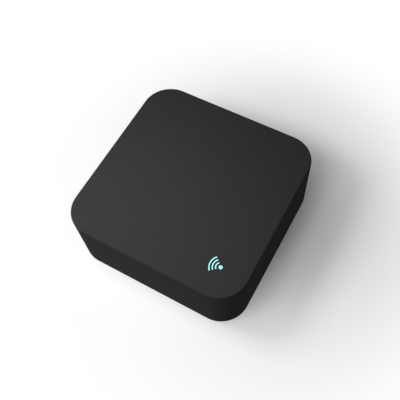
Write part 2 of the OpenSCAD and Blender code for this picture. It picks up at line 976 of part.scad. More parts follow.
module radio_chip() {
    color(epoxy_black) translate([radio_x, shield_y(), radio_top()])
        block(chip_w, -chip_w / 2, chip_w / 2, 0, chip_h);
}

// A thin steel lid, open below, over the radio chip
module radio_shield() {
    color(steel) translate([radio_x, shield_y(), radio_top()]) difference() {
        round_slab(shield_w, shield_d, shield_r, shield_h);
        translate([0, 0, -overrun])
            round_slab(shield_w - 2 * shield_t, shield_d - 2 * shield_t,
                shield_r - shield_t, shield_h - shield_t + overrun);
    }
}

// A folded trace at the end of the radio board
module radio_antenna() {
    pitch = (radio_w - 2 * antenna_inset) / (2 * antenna_turns);
    color(gold)
        translate([radio_x - radio_w / 2 + antenna_inset,
            radio_y - radio_d / 2 + antenna_inset, radio_top()])
            union() {
                for (i = [0:2 * antenna_turns])
                    translate([i * pitch, 0, 0])
                        block(antenna_line, 0, antenna_reach, 0, antenna_t);
                for (i = [0:2 * antenna_turns - 1])
                    translate([i * pitch - antenna_line / 2,
                        (i % 2) * (antenna_reach - antenna_line), 0])
                        cube([pitch + antenna_line, antenna_line, antenna_t]);
            }
}

// Solder joints along both long edges of the radio board
module radio_solder_joints() {
    color(tin) translate([radio_x, radio_y + radio_d / 2 - joint_first, board_top])
        for (s = [-1, 1], i = [0:joint_count - 1])
            translate([s * (radio_w + joint_l) / 2, -i * joint_pitch, 0])
                block(joint_l, -joint_w / 2, joint_w / 2, 0, radio_t);
}

// Supply parts

// A flat lead that leaves a chip's side at a height, drops and runs out along the board
module gull_leg(w, l, rise, t) {
    translate([0, w / 2, 0]) rotate([90, 0, 0]) linear_extrude(w)
        polygon([
            [0, rise], [l / 3, rise], [l / 2, 0], [l, 0], [l, t], [l / 2 + t, t],
            [l / 3 + t, rise + t], [0, rise + t]
        ]);
}

// A moulded chip body, its upper half drawn in a little
module chip_body(w, d, h, bevel) {
    rotate([90, 0, 0]) translate([0, 0, -d / 2]) linear_extrude(d)
        polygon([
            [-w / 2, 0], [w / 2, 0], [w / 2, h / 2], [w / 2 - bevel, h], [bevel - w / 2, h],
            [-w / 2, h / 2]
        ]);
}

module voltage_regulator() {
    color(epoxy_black) at_regulator() translate([0, 0, regulator_lift])
        chip_body(regulator_w, regulator_d, regulator_h, regulator_bevel);
}

module at_regulator() {
    translate([regulator_x, regulator_y, board_top]) children();
}

// Three legs on the front side and a wide tab on the back
module regulator_leads() {
    color(tin) at_regulator() {
        for (i = [-1:1])
            translate([i * regulator_leg_pitch, -regulator_d / 2, 0]) rotate([0, 0, -90])
                gull_leg(regulator_leg_w, leg_l, leg_rise, leg_t);
        translate([0, regulator_d / 2, 0]) rotate([0, 0, 90])
            gull_leg(regulator_tab_w, leg_l, leg_rise, leg_t);
    }
}

module at_can() {
    translate([can_x, can_y, board_top]) children();
}

// The aluminium can: a groove near its foot and a rounded top edge
module bulk_capacitor() {
    color(steel) at_can() translate([0, 0, can_base_t]) rotate_extrude() {
        difference() {
            union() {
                square([can_r - can_round, can_h]);
                square([can_r, can_h - can_round]);
                translate([can_r - can_round, can_h - can_round]) circle(can_round);
            }
            translate([can_r, can_groove_z]) circle(can_groove);
        }
    }
}

// The square base of the can, two of its corners cut off
module capacitor_base() {
    w = can_base_w / 2;
    c = can_base_cut;
    color(epoxy_black) at_can() linear_extrude(can_base_t)
        polygon([[-w, -w], [w - c, -w], [w, c - w], [w, w - c], [w - c, w], [-w, w]]);
}

module at_diode() {
    translate([diode_x, diode_y, board_top]) children();
}

module protection_diode() {
    color(epoxy_black) at_diode() translate([0, 0, diode_lift])
        chip_body(diode_w, diode_d, diode_h, leg_t);
}

// A strap down each end of the diode
module diode_leads() {
    color(tin) at_diode() for (s = [-1, 1])
        translate([s * (diode_w + leg_t) / 2, 0, 0])
            block(leg_t, -diode_d / 3, diode_d / 3, 0, diode_h / 2);
}

// Driver transistors and chip parts

module at_transistors() {
    for (i = [0:transistor_count - 1])
        translate([transistor_x + i * transistor_pitch, transistor_y, board_top])
            children();
}

module driver_transistors() {
    color(epoxy_black) at_transistors() translate([0, 0, transistor_lift])
        chip_body(transistor_w, transistor_d, transistor_h, transistor_lift);
}

// Two legs on the front side of each transistor and one on the back
module transistor_leads() {
    t = leg_t / 2;
    color(tin) at_transistors() {
        for (s = [-1, 1])
            translate([s * transistor_leg_pitch, -transistor_d / 2, 0]) rotate([0, 0, -90])
                gull_leg(transistor_leg_w, transistor_leg_l, transistor_h / 2, t);
        translate([0, transistor_d / 2, 0]) rotate([0, 0, 90])
            gull_leg(transistor_leg_w, transistor_leg_l, transistor_h / 2, t);
    }
}

module at_resistors() {
    for (i = [0:resistor_count - 1])
        translate([resistor_x + i * resistor_pitch, resistor_y, board_top]) children();
}

module at_capacitors() {
    for (i = [0:capacitor_count - 1])
        translate([capacitor_x + i * resistor_pitch, capacitor_y, board_top]) children();
}

module chip_resistors() {
    color(epoxy_black) at_resistors() chip_part(resistor_h);
}

module chip_capacitors() {
    color(ceramic_tan) at_capacitors() chip_part(capacitor_h);
}

// The middle of a chip part, between its end caps
module chip_part(h) {
    mid = chip_part_l / 2 - cap_end_l;
    block(chip_part_w, -mid, mid, 0, h);
}

module chip_end_caps() {
    color(tin) {
        at_resistors() end_caps(resistor_h);
        at_capacitors() end_caps(capacitor_h);
    }
}

module end_caps(h) {
    mid = chip_part_l / 2 - cap_end_l;
    for (turn = [0, 180])
        rotate([0, 0, turn]) block(chip_part_w, mid, chip_part_l / 2, 0, h);
}

top_cover();
base_plate();
foot(-1, -1);  // foot_front_left
foot(1, -1);  // foot_front_right
foot(-1, 1);  // foot_back_left
foot(1, 1);  // foot_back_right
board_screws();
main_board();
status_light_guide();
light_sleeve();
status_led();
status_led_lens();
reset_button();
switch_body();
switch_frame();
switch_plunger();
switch_dome();
switch_terminals();
power_socket_shell();
power_socket_core();
power_socket_contacts();
ir_emitter(EMITTERS[0]);  // ir_emitter_front
ir_emitter(EMITTERS[1]);  // ir_emitter_left
ir_emitter(EMITTERS[2]);  // ir_emitter_right
ir_emitter(EMITTERS[3]);  // ir_emitter_front_right
ir_emitter(EMITTERS[4]);  // ir_emitter_back_left
ir_emitter(EMITTERS[5]);  // ir_emitter_back_right
ir_emitter_up();
emitter_leads();
ir_receiver();
receiver_leads();
lead_solder_joints();
radio_board();
radio_chip();
radio_shield();
radio_antenna();
radio_solder_joints();
voltage_regulator();
regulator_leads();
bulk_capacitor();
capacitor_base();
driver_transistors();
transistor_leads();
chip_resistors();
chip_capacitors();
chip_end_caps();
protection_diode();
diode_leads();
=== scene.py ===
"""Looks of a smart infrared blaster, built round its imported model.

Sizes are millimetres, as in the part's source, until a mesh is made. Blender's own unit is the metre.
The case stands on z = 0 under its middle, its front faces -Y and its power socket faces +Y.
"""

from __future__ import annotations

import json
import logging
import math
from dataclasses import dataclass
from enum import Enum
from functools import cached_property
from typing import Iterable, Sequence, Union

import bpy
from mathutils import Matrix, Vector


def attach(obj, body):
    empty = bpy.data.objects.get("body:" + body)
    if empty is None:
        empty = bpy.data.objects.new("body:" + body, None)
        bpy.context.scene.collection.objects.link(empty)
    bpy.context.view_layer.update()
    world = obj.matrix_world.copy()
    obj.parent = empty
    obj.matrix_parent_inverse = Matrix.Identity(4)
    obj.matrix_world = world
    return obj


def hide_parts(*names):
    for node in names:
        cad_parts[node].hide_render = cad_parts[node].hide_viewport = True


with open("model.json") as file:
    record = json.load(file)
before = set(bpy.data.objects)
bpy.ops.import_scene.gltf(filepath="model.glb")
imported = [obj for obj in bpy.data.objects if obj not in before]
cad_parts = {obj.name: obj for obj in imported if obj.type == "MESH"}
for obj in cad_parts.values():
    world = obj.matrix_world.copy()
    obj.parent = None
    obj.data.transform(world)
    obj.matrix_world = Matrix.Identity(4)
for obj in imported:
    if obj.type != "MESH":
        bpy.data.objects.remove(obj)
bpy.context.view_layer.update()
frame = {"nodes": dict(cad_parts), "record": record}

LOG = logging.getLogger("blaster")
MM = 0.001
ARC_STEPS = 24
SHARP = 32.0  # angle in degrees above which an edge stays sharp
OVER = 1.0  # how far a cutter reaches past what it cuts
SIDES = (-1, 1)
WHITE = (1.0, 1.0, 1.0)

Pair = tuple[float, float]
Point = tuple[float, float, float]
Colour = tuple[float, float, float]
Section = tuple[float, float, float]
Outline = list[Pair]
Profile = tuple[Pair, ...]
Face = tuple[int, ...]
Socket = bpy.types.NodeSocket
Feed = Union[float, tuple, Socket]
Feeds = dict[Union[str, int], Feed]


class Body(Enum):
    """The bodies that the scene's own pieces ride on."""

    CASE = "case"
    BUTTON = "button"


class Join(Enum):
    """How two solids are put together."""

    FUSE = "UNION"
    CUT = "DIFFERENCE"


# Outlines and places


def arc(centre: Pair, radius: float, start: float, end: float, steps: int) -> Outline:
    """Draws points along an arc from one angle to another, in degrees, with both ends."""
    angles = [math.radians(start + (end - start) * step / steps) for step in range(steps + 1)]
    return [(centre[0] + radius * math.cos(angle), centre[1] + radius * math.sin(angle)) for angle in angles]


def circle(radius: float, steps: int) -> Outline:
    """Draws points round a full circle about the origin."""
    return arc((0, 0), radius, 0, 360, steps)[:-1]


def bevelled(half_x: float, half_y: float, bevel: float) -> Outline:
    """Draws a rectangle whose two corners towards -Y are cut off."""
    x, y, cut_x, cut_y = half_x, half_y, half_x - bevel, half_y - bevel
    return [(x, y), (-x, y), (-x, -cut_y), (-cut_x, -y), (cut_x, -y), (x, -cut_y)]


def rounded(half_x: float, half_y: float, radius: float, steps: int = ARC_STEPS) -> Outline:
    """Draws a rectangle with round corners.

    Args:
        half_x: Half its width.
        half_y: Half its depth.
        radius: Radius of its corners.
        steps: Number of steps round each corner.

    Returns:
        The outline, anticlockwise.
    """
    points: Outline = []
    for quarter, (x, y) in enumerate(((1, 1), (-1, 1), (-1, -1), (1, -1))):
        centre = (x * (half_x - radius), y * (half_y - radius))
        points += arc(centre, radius, 90 * quarter, 90 * quarter + 90, steps)
    return points


def move(x: float = 0, y: float = 0, z: float = 0) -> Matrix:
    """Returns a shift."""
    return Matrix.Translation((x, y, z))


def turn(angle: float, axis: str = "Z") -> Matrix:
    """Returns a turn by an angle in degrees about X, Y or Z."""
    return Matrix.Rotation(math.radians(angle), 4, axis)


def each_side(place: float) -> list[Matrix]:
    """Returns two places on each side of the square, drawn with the outer side towards +X."""
    return [turn(angle) @ move(y=side * place) for angle in (0, 90, 180, 270) for side in SIDES]


def corners(x: float, y: float) -> list[Matrix]:
    """Returns the four mirrored places at x and y."""
    return [move(i * x, j * y) for i in SIDES for j in SIDES]


def on_back(x: float) -> Matrix:
    """Returns the place on the back wall, level with the ports, whose local +Z points out of the case."""
    return move(x, PLAN.half, PLAN.port_z) @ turn(-90, "X")


# Mesh making


class Solid:
    """A closed mesh in millimetres."""

    def __init__(self, points: Iterable[Sequence[float]], faces: Iterable[Face]) -> None:
        """Keeps the points and the faces, and turns the faces outwards.

        Args:
            points: The points.
            faces: The numbers of each face's points.
        """
        self.points = [Vector(point) for point in points]
        self.faces = list(faces)
        if self.volume() < 0:
            self.faces = [face[::-1] for face in self.faces]

    def volume(self) -> float:
        """Adds up the volume that the faces enclose.

        Returns:
            The volume, which is negative where the faces look inwards.
        """
        total = 0.0
        for first, *others in self.faces:
            for near, far in zip(others, others[1:]):
                total += self.points[first].dot(self.points[near].cross(self.points[far]))
        return total / 6

    @classmethod
    def loft(cls, rings: Sequence[Sequence[Sequence[float]]], closed: bool = False) -> Solid:
        """Skins rings of equal length.

        Args:
            rings: The rings, from one end to the other.
            closed: Whether the last ring joins the first, as in a tube's wall. Else both ends are shut.

        Returns:
            The skinned solid.
        """
        count, total = len(rings[0]), len(rings)
        faces: list[Face] = [] if closed else [tuple(reversed(range(count)))]
        for level in range(total if closed else total - 1):
            base, after = level * count, (level + 1) % total * count
            faces += [(base + i, base + j, after + j, after + i)
                      for i, j in ((i, (i + 1) % count) for i in range(count))]
        if not closed:
            faces.append(tuple(range((total - 1) * count, total * count)))
        return cls([point for ring in rings for point in ring], faces)

    @classmethod
    def prism(cls, outline: Outline, low: float, high: float) -> Solid:
        """Raises an outline from one level to another."""
        return cls.loft([[(x, y, z) for x, y in outline] for z in (low, high)])

    @classmethod
    def upright(cls, outline: Outline, half: float) -> Solid:
        """Stands an outline up in X and Z, and thickens it to both sides."""
        return cls.prism(outline, -half, half).placed(turn(90, "X"))

    @classmethod
    def rod(cls, radius: float, low: float, high: float, steps: int = 8) -> Solid:
        """Raises a circle from one level to another, as raw stock for a hole."""
        return cls.prism(rounded(radius, radius, radius, steps), low, high)

    @classmethod
    def box(cls, low: Point, high: Point) -> Solid:
        """Spans a box between two corners, as raw stock for cuts and bevels."""
        return cls.prism([(low[0], low[1]), (high[0], low[1]), (high[0], high[1]), (low[0], high[1])],
                         low[2], high[2])

    @classmethod
    def block(cls, half_x: float, half_y: float, corner: float, levels: Outline,
              steps: int = ARC_STEPS) -> Solid:
        """Lofts a block with round corners from levels that say how far in its sides lie, and how high."""
        rings = [rounded(half_x - inset, half_y - inset, corner - inset, steps) for inset, _ in levels]
        return cls.loft([[(x, y, z) for x, y in ring] for ring, (_, z) in zip(rings, levels)])

    @classmethod
    def revolve(cls, profile: Outline, steps: int) -> Solid:
        """Turns a profile about Z.

        Args:
            profile: Radius and height of each point, from the axis back to the axis.
            steps: Number of steps round.

        Returns:
            The turned solid.
        """
        middle = profile[1:-1]
        points: list[Point] = [(0, 0, profile[0][1]), (0, 0, profile[-1][1])]
        points += [(r * x, r * y, z) for r, z in middle for x, y in circle(1, steps)]
        last = 2 + (len(middle) - 1) * steps
        faces: list[Face] = []
        for i in range(steps):
            j = (i + 1) % steps
            faces += [(0, 2 + j, 2 + i), (1, last + i, last + j)]
            faces += [(base + i, base + j, base + steps + j, base + steps + i)
                      for base in range(2, last, steps)]
        return cls(points, faces)

    @classmethod
    def hoop(cls, profile: Outline, steps: int) -> Solid:
        """Turns a closed profile that doesn't touch the axis about Z."""
        return cls.loft([[(r * x, r * y, z) for r, z in profile] for x, y in circle(1, steps)], closed=True)

    def placed(self, matrix: Matrix) -> Solid:
        """Returns a copy moved by a matrix."""
        return Solid([matrix @ point for point in self.points], self.faces)

    def repeated(self, matrices: Iterable[Matrix]) -> Solid:
        """Returns copies at several places as one mesh."""
        return Solid.joined([self.placed(matrix) for matrix in matrices])

    @staticmethod
    def joined(solids: Sequence[Solid]) -> Solid:
        """Puts solids that don't touch into one mesh.

        Args:
            solids: The solids.

        Returns:
            All of them as one.
        """
        points: list[Vector] = []
        faces: list[Face] = []
        for solid in solids:
            faces += [tuple(i + len(points) for i in face) for face in solid.faces]
            points += solid.points
        return Solid(points, faces)

    def mesh(self, name: str, unit: float = 1.0) -> bpy.types.Mesh:
        """Makes a Blender mesh.

        Args:
            name: Name of the mesh.
            unit: Length of one millimetre in the mesh.

        Returns:
            The mesh.
        """
        mesh = bpy.data.meshes.new(name)
        mesh.from_pydata([point * unit for point in self.points], [], self.faces)
        return mesh

    def _with(self, join: Join, others: Sequence[Solid]) -> Solid:
        """Fuses or cuts with other solids, one after another.

        Args:
            join: Whether to fuse or to cut.
            others: The other solids.

        Returns:
            The result.
        """
        made = [put("stock", solid.mesh("stock")) for solid in (self, *others)]
        for tool in made[1:]:
            step = made[0].modifiers.new("join", "BOOLEAN")
            step.operation = join.value
            step.solver = "EXACT"
            step.object = tool
        shaped = made[0].evaluated_get(bpy.context.evaluated_depsgraph_get()).to_mesh()
        result = Solid([vertex.co.copy() for vertex in shaped.vertices],
                       [tuple(polygon.vertices) for polygon in shaped.polygons])
        for mesh in [piece.data for piece in made]:
            bpy.data.meshes.remove(mesh)  # its object goes with it
        return result

    def fused(self, *others: Solid) -> Solid:
        """Returns this solid with others fused on."""
        return self._with(Join.FUSE, others)

    def cut(self, *others: Solid) -> Solid:
        """Returns this solid with others cut away."""
        return self._with(Join.CUT, others)


@dataclass(frozen=True)
class Pocket:
    """A pocket with round corners that opens towards +Z at z = 0."""

    half_x: float
    half_y: float
    corner: float
    depth: float
    lip: float
    toe: float = 0.0
    over: float = 0.5

    def cutter(self) -> Solid:
        """Shapes the cutter, from above the mouth down.

        Returns:
            The solid that cuts the pocket, its lip and its toe rounded.
        """
        levels = [(-self.lip, self.over)] + arc((-self.lip, -self.lip), self.lip, 90, 0, 5)
        if self.toe:
            levels += arc((self.toe, self.toe - self.depth), self.toe, 180, 270, 5)
        else:
            levels.append((0, -self.depth))
        return Solid.block(self.half_x, self.half_y, self.corner, levels)


# Finishes


class Graph:
    """The node tree of a material or a world."""

    def __init__(self, owner: bpy.types.Material | bpy.types.World,
                 output: str = "ShaderNodeOutputMaterial") -> None:
        """Empties the owner's tree and adds its output.

        Args:
            owner: The material or the world.
            output: Blender's name for its output.
        """
        owner.use_nodes = True
        self.tree = owner.node_tree
        self.tree.nodes.clear()
        self.output = self.add(output)

    @cached_property
    def place(self) -> Socket:
        """The place on the object, in its own coordinates."""
        return self.add("ShaderNodeTexCoord").outputs["Object"]

    def add(self, kind: str, feeds: Feeds | None = None, **settings: object) -> bpy.types.Node:
        """Adds a node.

        Args:
            kind: Blender's name for the node.
            feeds: A value or a link for each socket that needs one.
            **settings: The node's own settings.

        Returns:
            The node.
        """
        node = self.tree.nodes.new(kind)
        for name, value in settings.items():
            setattr(node, name, value)
        for name, value in (feeds or {}).items():
            socket = node.inputs[name]
            if isinstance(value, Socket):
                self.tree.links.new(value, socket)
            else:
                socket.default_value = (*value, 1.0) if socket.type == "RGBA" else value
        return node

    def noise(self, size: float, detail: float, roughness: float = 0.5,
              stretch: Point = (1.0, 1.0, 1.0)) -> Socket:
        """Adds noise over the object's own coordinates.

        Args:
            size: Size of its grains, in millimetres.
            detail: Levels of finer detail.
            roughness: Weight of the finer detail.
            stretch: Share of the grains' size along X, Y and Z.

        Returns:
            Its value.
        """
        mapped = self.add("ShaderNodeMapping", {"Vector": self.place, "Scale": tuple(1 / s for s in stretch)})
        return self.add("ShaderNodeTexNoise", {"Vector": mapped.outputs["Vector"], "Scale": 1 / (size * MM),
                                               "Detail": detail, "Roughness": roughness}).outputs["Fac"]

    def span(self, value: Socket, low: float, high: float, start: float = 0.3, end: float = 0.7,
             **settings: object) -> Socket:
        """Maps a value so that start gives low and end gives high."""
        feeds = {"Value": value, "From Min": start, "From Max": end, "To Min": low, "To Max": high}
        return self.add("ShaderNodeMapRange", feeds, **settings).outputs["Result"]

    def blend(self, factor: Feed, first: Feed, second: Feed) -> Socket:
        """Blends two colours by a factor."""
        return self.add("ShaderNodeMix", {0: factor, 6: first, 7: second}, data_type="RGBA").outputs[2]

    def shades(self, value: Socket, colour: Colour, first: float, second: float = 1.0) -> Socket:
        """Blends two shares of a colour by a noise."""
        ends = (tuple(share * c for c in colour) for share in (first, second))
        return self.blend(self.span(value, 0, 1), *ends)

    def maths(self, operation: str, first: Feed, second: Feed = 0.0) -> Socket:
        """Works out one operation."""
        return self.add("ShaderNodeMath", {0: first, 1: second}, operation=operation).outputs[0]

    def bump(self, height: Socket, depth: float) -> Socket:
        """Raises the surface by a height from 0 to 1, times a depth, and returns the normal."""
        feeds = {"Height": height, "Distance": depth * MM, "Strength": 1.0}
        return self.add("ShaderNodeBump", feeds).outputs["Normal"]

    def light(self, kind: str, strength: float) -> Socket:
        """Adds an even white light."""
        return self.add(kind, {"Color": WHITE, "Strength": strength}).outputs[0]

    def mix(self, factor: Socket, first: Socket, second: Socket) -> Socket:
        """Mixes two surfaces or grounds by a factor."""
        return self.add("ShaderNodeMixShader", {0: factor, 1: first, 2: second}).outputs[0]

    def seen(self) -> Socket:
        """Tells rays from the camera, a reflection or a clear body from those that light.

        Returns:
            One for such a ray, else zero.
        """
        path = self.add("ShaderNodeLightPath").outputs
        direct = self.maths("MAXIMUM", path["Is Camera Ray"], path["Is Glossy Ray"])
        return self.maths("MAXIMUM", direct, path["Is Transmission Ray"])

    def close(self, surface: Socket) -> None:
        """Links the surface to the output."""
        self.tree.links.new(surface, self.output.inputs["Surface"])

    def principled(self, **feeds: Feed) -> None:
        """Ends the tree in the general shader, its sockets named with underscores."""
        sockets = {name.replace("_", " "): value for name, value in feeds.items()}
        self.close(self.add("ShaderNodeBsdfPrincipled", sockets).outputs["BSDF"])


@dataclass(frozen=True)
class Finish:
    """The finish of one material slot."""

    slot: str
    colour: Colour

    def material(self) -> bpy.types.Material:
        """Builds the slot's material, once.

        Returns:
            The material.
        """
        name = f"{self.slot}_finish"
        material = bpy.data.materials.get(name)
        if material is None:
            material = bpy.data.materials.new(name)
            self.shade(Graph(material))
        return material

    def shade(self, graph: Graph) -> None:
        """Builds the material in an empty node tree."""
        raise NotImplementedError


@dataclass(frozen=True)
class Moulded(Finish):
    """Moulded plastic with a fine spark-eroded grain."""

    roughness: float = 0.5
    grain: float = 0.11
    depth: float = 0.006
    mottle: float = 0.05
    specular: float = 0.5
    spread: float = 0.05
    cloud: float = 30.0

    def shade(self, graph: Graph) -> None:
        """Builds the grain, a faint mottle and the satin surface.

        Args:
            graph: An empty node tree.
        """
        fine = graph.noise(self.grain, detail=3, roughness=0.6)
        broad = graph.noise(self.cloud * self.grain, detail=3)
        graph.principled(
            Base_Color=graph.shades(broad, self.colour, 1 - self.mottle, 1 + self.mottle),
            Roughness=graph.span(fine, self.roughness - self.spread, self.roughness + self.spread),
            Specular_IOR_Level=self.specular, Normal=graph.bump(fine, self.depth))


@dataclass(frozen=True)
class Soft(Finish):
    """Rubber or foam: dull, with pores."""

    pore: float = 0.25
    depth: float = 0.03

    def shade(self, graph: Graph) -> None:
        """Builds the pores and the dull surface."""
        pores = graph.noise(self.pore, detail=4, roughness=0.6)
        graph.principled(Base_Color=graph.shades(pores, self.colour, first=0.7, second=1.3), Roughness=0.85,
                         Specular_IOR_Level=0.35, Normal=graph.bump(pores, self.depth))


@dataclass(frozen=True)
class Metal(Finish):
    """Drawn, pressed or plated metal."""

    roughness: float = 0.3
    scratch: float = 0.4
    stretch: Point = (1.0, 1.0, 1.0)
    depth: float = 0.002
    cloud: float = 4.0
    smoother: float = 0.08
    rougher: float = 0.1

    def shade(self, graph: Graph) -> None:
        """Builds fine draw marks and faint tarnish.

        Args:
            graph: An empty node tree.
        """
        marks = graph.noise(self.scratch, detail=3, roughness=0.6, stretch=self.stretch)
        tarnish = graph.noise(self.cloud, detail=3)
        graph.principled(
            Base_Color=graph.shades(tarnish, self.colour, first=0.8), Metallic=1.0,
            Roughness=graph.span(marks, self.roughness - self.smoother, self.roughness + self.rougher),
            Normal=graph.bump(marks, self.depth))


@dataclass(frozen=True)
class Laminate(Finish):
    """Green solder mask over copper tracks on glass laminate."""

    track: Colour
    pitch: float = 0.62
    width_share: float = 0.34
    run: float = 5.3
    laid_share: float = 0.42
    stagger: float = 0.29
    patch: float = 9.0
    weave: float = 0.35
    weave_share: float = 0.3
    depth: float = 0.02

    def tracks(self, graph: Graph, along: Socket, across: Socket) -> Socket:
        """Lays runs of parallel tracks, each of which is there or not by chance.

        Args:
            graph: The material's graph.
            along: Place along the tracks.
            across: Place across the tracks.

        Returns:
            One on a track, else zero.
        """
        rows = graph.maths("DIVIDE", across, self.pitch * MM)
        row = graph.maths("FLOOR", rows)
        runs = graph.maths("DIVIDE", along, self.run * MM)
        cell = graph.maths("FLOOR", graph.maths("ADD", runs, graph.maths("MULTIPLY", row, self.stagger)))
        spot = graph.add("ShaderNodeCombineXYZ", {0: row, 1: cell}).outputs[0]
        chance = graph.add("ShaderNodeTexWhiteNoise", {"Vector": spot}, noise_dimensions="3D")
        laid = graph.maths("LESS_THAN", chance.outputs["Value"], self.laid_share)
        line = graph.maths("LESS_THAN", graph.maths("FRACT", rows), self.width_share)
        return graph.maths("MULTIPLY", laid, line)

    def shade(self, graph: Graph) -> None:
        """Builds tracks along and across the board in patches, the weave and the glossy mask.

        Args:
            graph: An empty node tree.
        """
        x, y, _ = graph.add("ShaderNodeSeparateXYZ", {0: graph.place}).outputs
        patch = graph.span(graph.noise(self.patch, detail=1), 0, 1, start=0.495, end=0.505)
        lines = graph.blend(patch, self.tracks(graph, x, y), self.tracks(graph, y, x))
        weave = graph.maths("MULTIPLY", graph.noise(self.weave, detail=1), self.weave_share)
        graph.principled(
            Base_Color=graph.blend(lines, self.colour, self.track), Roughness=0.34, Coat_Weight=0.3,
            Coat_Roughness=0.2, Normal=graph.bump(graph.maths("ADD", weave, lines), self.depth))


@dataclass(frozen=True)
class Clear(Finish):
    """Clear or tinted epoxy that light passes through."""

    roughness: float = 0.03
    flow: float = 1.6

    def shade(self, graph: Graph) -> None:
        """Builds the clear body with faint flow marks."""
        flow = graph.noise(self.flow, detail=2)
        graph.principled(
            Base_Color=graph.shades(flow, self.colour, first=1.0, second=0.94), Roughness=self.roughness,
            IOR=1.53, Transmission_Weight=0.92, Normal=graph.bump(flow, depth=0.01))


@dataclass(frozen=True)
class Lit(Finish):
    """A body that glows a little unevenly, under a satin face."""

    strength: float
    base: Colour = (0.02, 0.05, 0.05)
    roughness: float = 0.35
    cloud: float = 0.9

    def shade(self, graph: Graph) -> None:
        """Builds the glow and the face."""
        glow = graph.shades(graph.noise(self.cloud, detail=2), self.colour, first=1.0, second=0.93)
        graph.principled(Base_Color=self.base, Roughness=self.roughness, Emission_Strength=self.strength,
                         Emission_Color=glow)


@dataclass(frozen=True)
class Guide(Lit):
    """A frosted light guide that glows only at its upper face."""

    dim: Colour = (0.62, 0.7, 0.7)
    pale: Colour = (0.7, 0.78, 0.78)
    frost: float = 0.3
    face: float = 22.0
    depth: float = 0.1

    def shade(self, graph: Graph) -> None:
        """Builds the frosted body and the glow at the face.

        Args:
            graph: An empty node tree.
        """
        height = graph.add("ShaderNodeSeparateXYZ", {0: graph.place}).outputs["Z"]
        lit = graph.span(height, 0, 1, (self.face - self.depth) * MM, (self.face - self.depth / 2) * MM)
        frost = graph.noise(self.frost, detail=3)
        body = graph.blend(graph.span(frost, 0, 1), self.dim, self.pale)
        graph.principled(
            Base_Color=graph.blend(lit, body, self.base), Roughness=self.roughness,
            Emission_Color=graph.blend(lit, (0.0, 0.0, 0.0), self.colour), Emission_Strength=self.strength,
            Normal=graph.bump(frost, depth=0.002))


@dataclass(frozen=True)
class Ceramic(Finish):
    """Fired ceramic with a fine speckle."""

    roughness: float = 0.45
    speckle: float = 0.12

    def shade(self, graph: Graph) -> None:
        """Builds the speckle and a slight relief."""
        speckle = graph.noise(self.speckle, detail=3, roughness=0.7)
        graph.principled(Base_Color=graph.shades(speckle, self.colour, first=0.85), Roughness=self.roughness,
                         Normal=graph.bump(speckle, depth=0.004))


FINISHES = {finish.slot: finish for finish in (
    Moulded("case_plastic", (0.03, 0.03, 0.0305), 0.85, mottle=0.02, specular=0.008),
    Moulded("base_plastic", (0.028, 0.028, 0.029), 0.6, grain=0.16, depth=0.01),
    Soft("foot_rubber", (0.016, 0.016, 0.017)),
    Metal("screw_steel", (0.62, 0.62, 0.64), 0.28),
    Laminate("board_laminate", (0.012, 0.11, 0.045), (0.03, 0.2, 0.075)),
    Guide("lit_guide", (0.4, 0.9, 0.88), 1.1),
    Soft("sleeve_foam", (0.02, 0.02, 0.022), 0.4, 0.08),
    Ceramic("lamp_ceramic", (0.8, 0.79, 0.74), 0.5),
    Lit("lamp_gel", (0.35, 0.73, 0.72), 0.8),
    Moulded("button_plastic", (0.024, 0.024, 0.025), 0.5, grain=0.07, depth=0.003, specular=0.2),
    Moulded("switch_plastic", (0.02, 0.02, 0.021), 0.45, grain=0.09),
    Metal("switch_steel", (0.66, 0.65, 0.62), 0.25, stretch=(6.0, 1.0, 1.0)),
    Moulded("plunger_plastic", (0.62, 0.61, 0.57), 0.4, grain=0.08, depth=0.002),
    Metal("tinned_metal", (0.72, 0.72, 0.7), 0.33),
    Metal("socket_steel", (0.6, 0.6, 0.6), 0.22, stretch=(1.0, 6.0, 1.0)),
    Moulded("socket_plastic", (0.018, 0.018, 0.019), 0.4, grain=0.08, depth=0.002),
    Metal("contact_gold", (0.83, 0.6, 0.24), 0.2),
    Clear("emitter_epoxy", (0.86, 0.9, 0.98)),
    Moulded("receiver_epoxy", (0.012, 0.011, 0.014), 0.16, grain=0.3, depth=0.001),
    Moulded("chip_epoxy", (0.022, 0.022, 0.023), 0.5, grain=0.07, depth=0.004),
    Metal("can_aluminium", (0.78, 0.78, 0.79), 0.3, stretch=(1.0, 1.0, 5.0)),
    Moulded("resistor_ceramic", (0.015, 0.015, 0.016), 0.3, grain=0.2, depth=0.002),
    Ceramic("capacitor_ceramic", (0.42, 0.28, 0.15)),
)}


# Pieces in the scene


def put(name: str, data: bpy.types.ID) -> bpy.types.Object:
    """Puts a mesh, a camera or a lamp into the scene.

    Args:
        name: Name of its object.
        data: The mesh, camera or lamp.

    Returns:
        The object.
    """
    made = bpy.data.objects.new(name, data)
    bpy.context.scene.collection.objects.link(made)
    return made


def dress(piece: bpy.types.Object, slot: str) -> None:
    """Gives a piece the finish of a slot.

    Args:
        piece: The piece.
        slot: Name of the record's slot.
    """
    piece.data.materials.clear()
    piece.data.materials.append(FINISHES[slot].material())


def smooth(piece: bpy.types.Object, sharp: float, edge: float) -> None:
    """Smooths a piece's faces and breaks its sharp edges.

    Args:
        piece: The piece.
        sharp: Angle above which an edge stays sharp, in degrees.
        edge: Width of the broken edges in millimetres, or 0 for none.
    """
    if edge:
        bevel = piece.modifiers.new("edges", "BEVEL")
        bevel.width = edge * MM
        bevel.segments = 2
        bevel.limit_method = "ANGLE"
        bevel.angle_limit = math.radians(sharp)
        bevel.miter_outer = "MITER_ARC"
    weigh = piece.modifiers.new("normals", "WEIGHTED_NORMAL")
    weigh.keep_sharp = True
    weigh.weight = 80


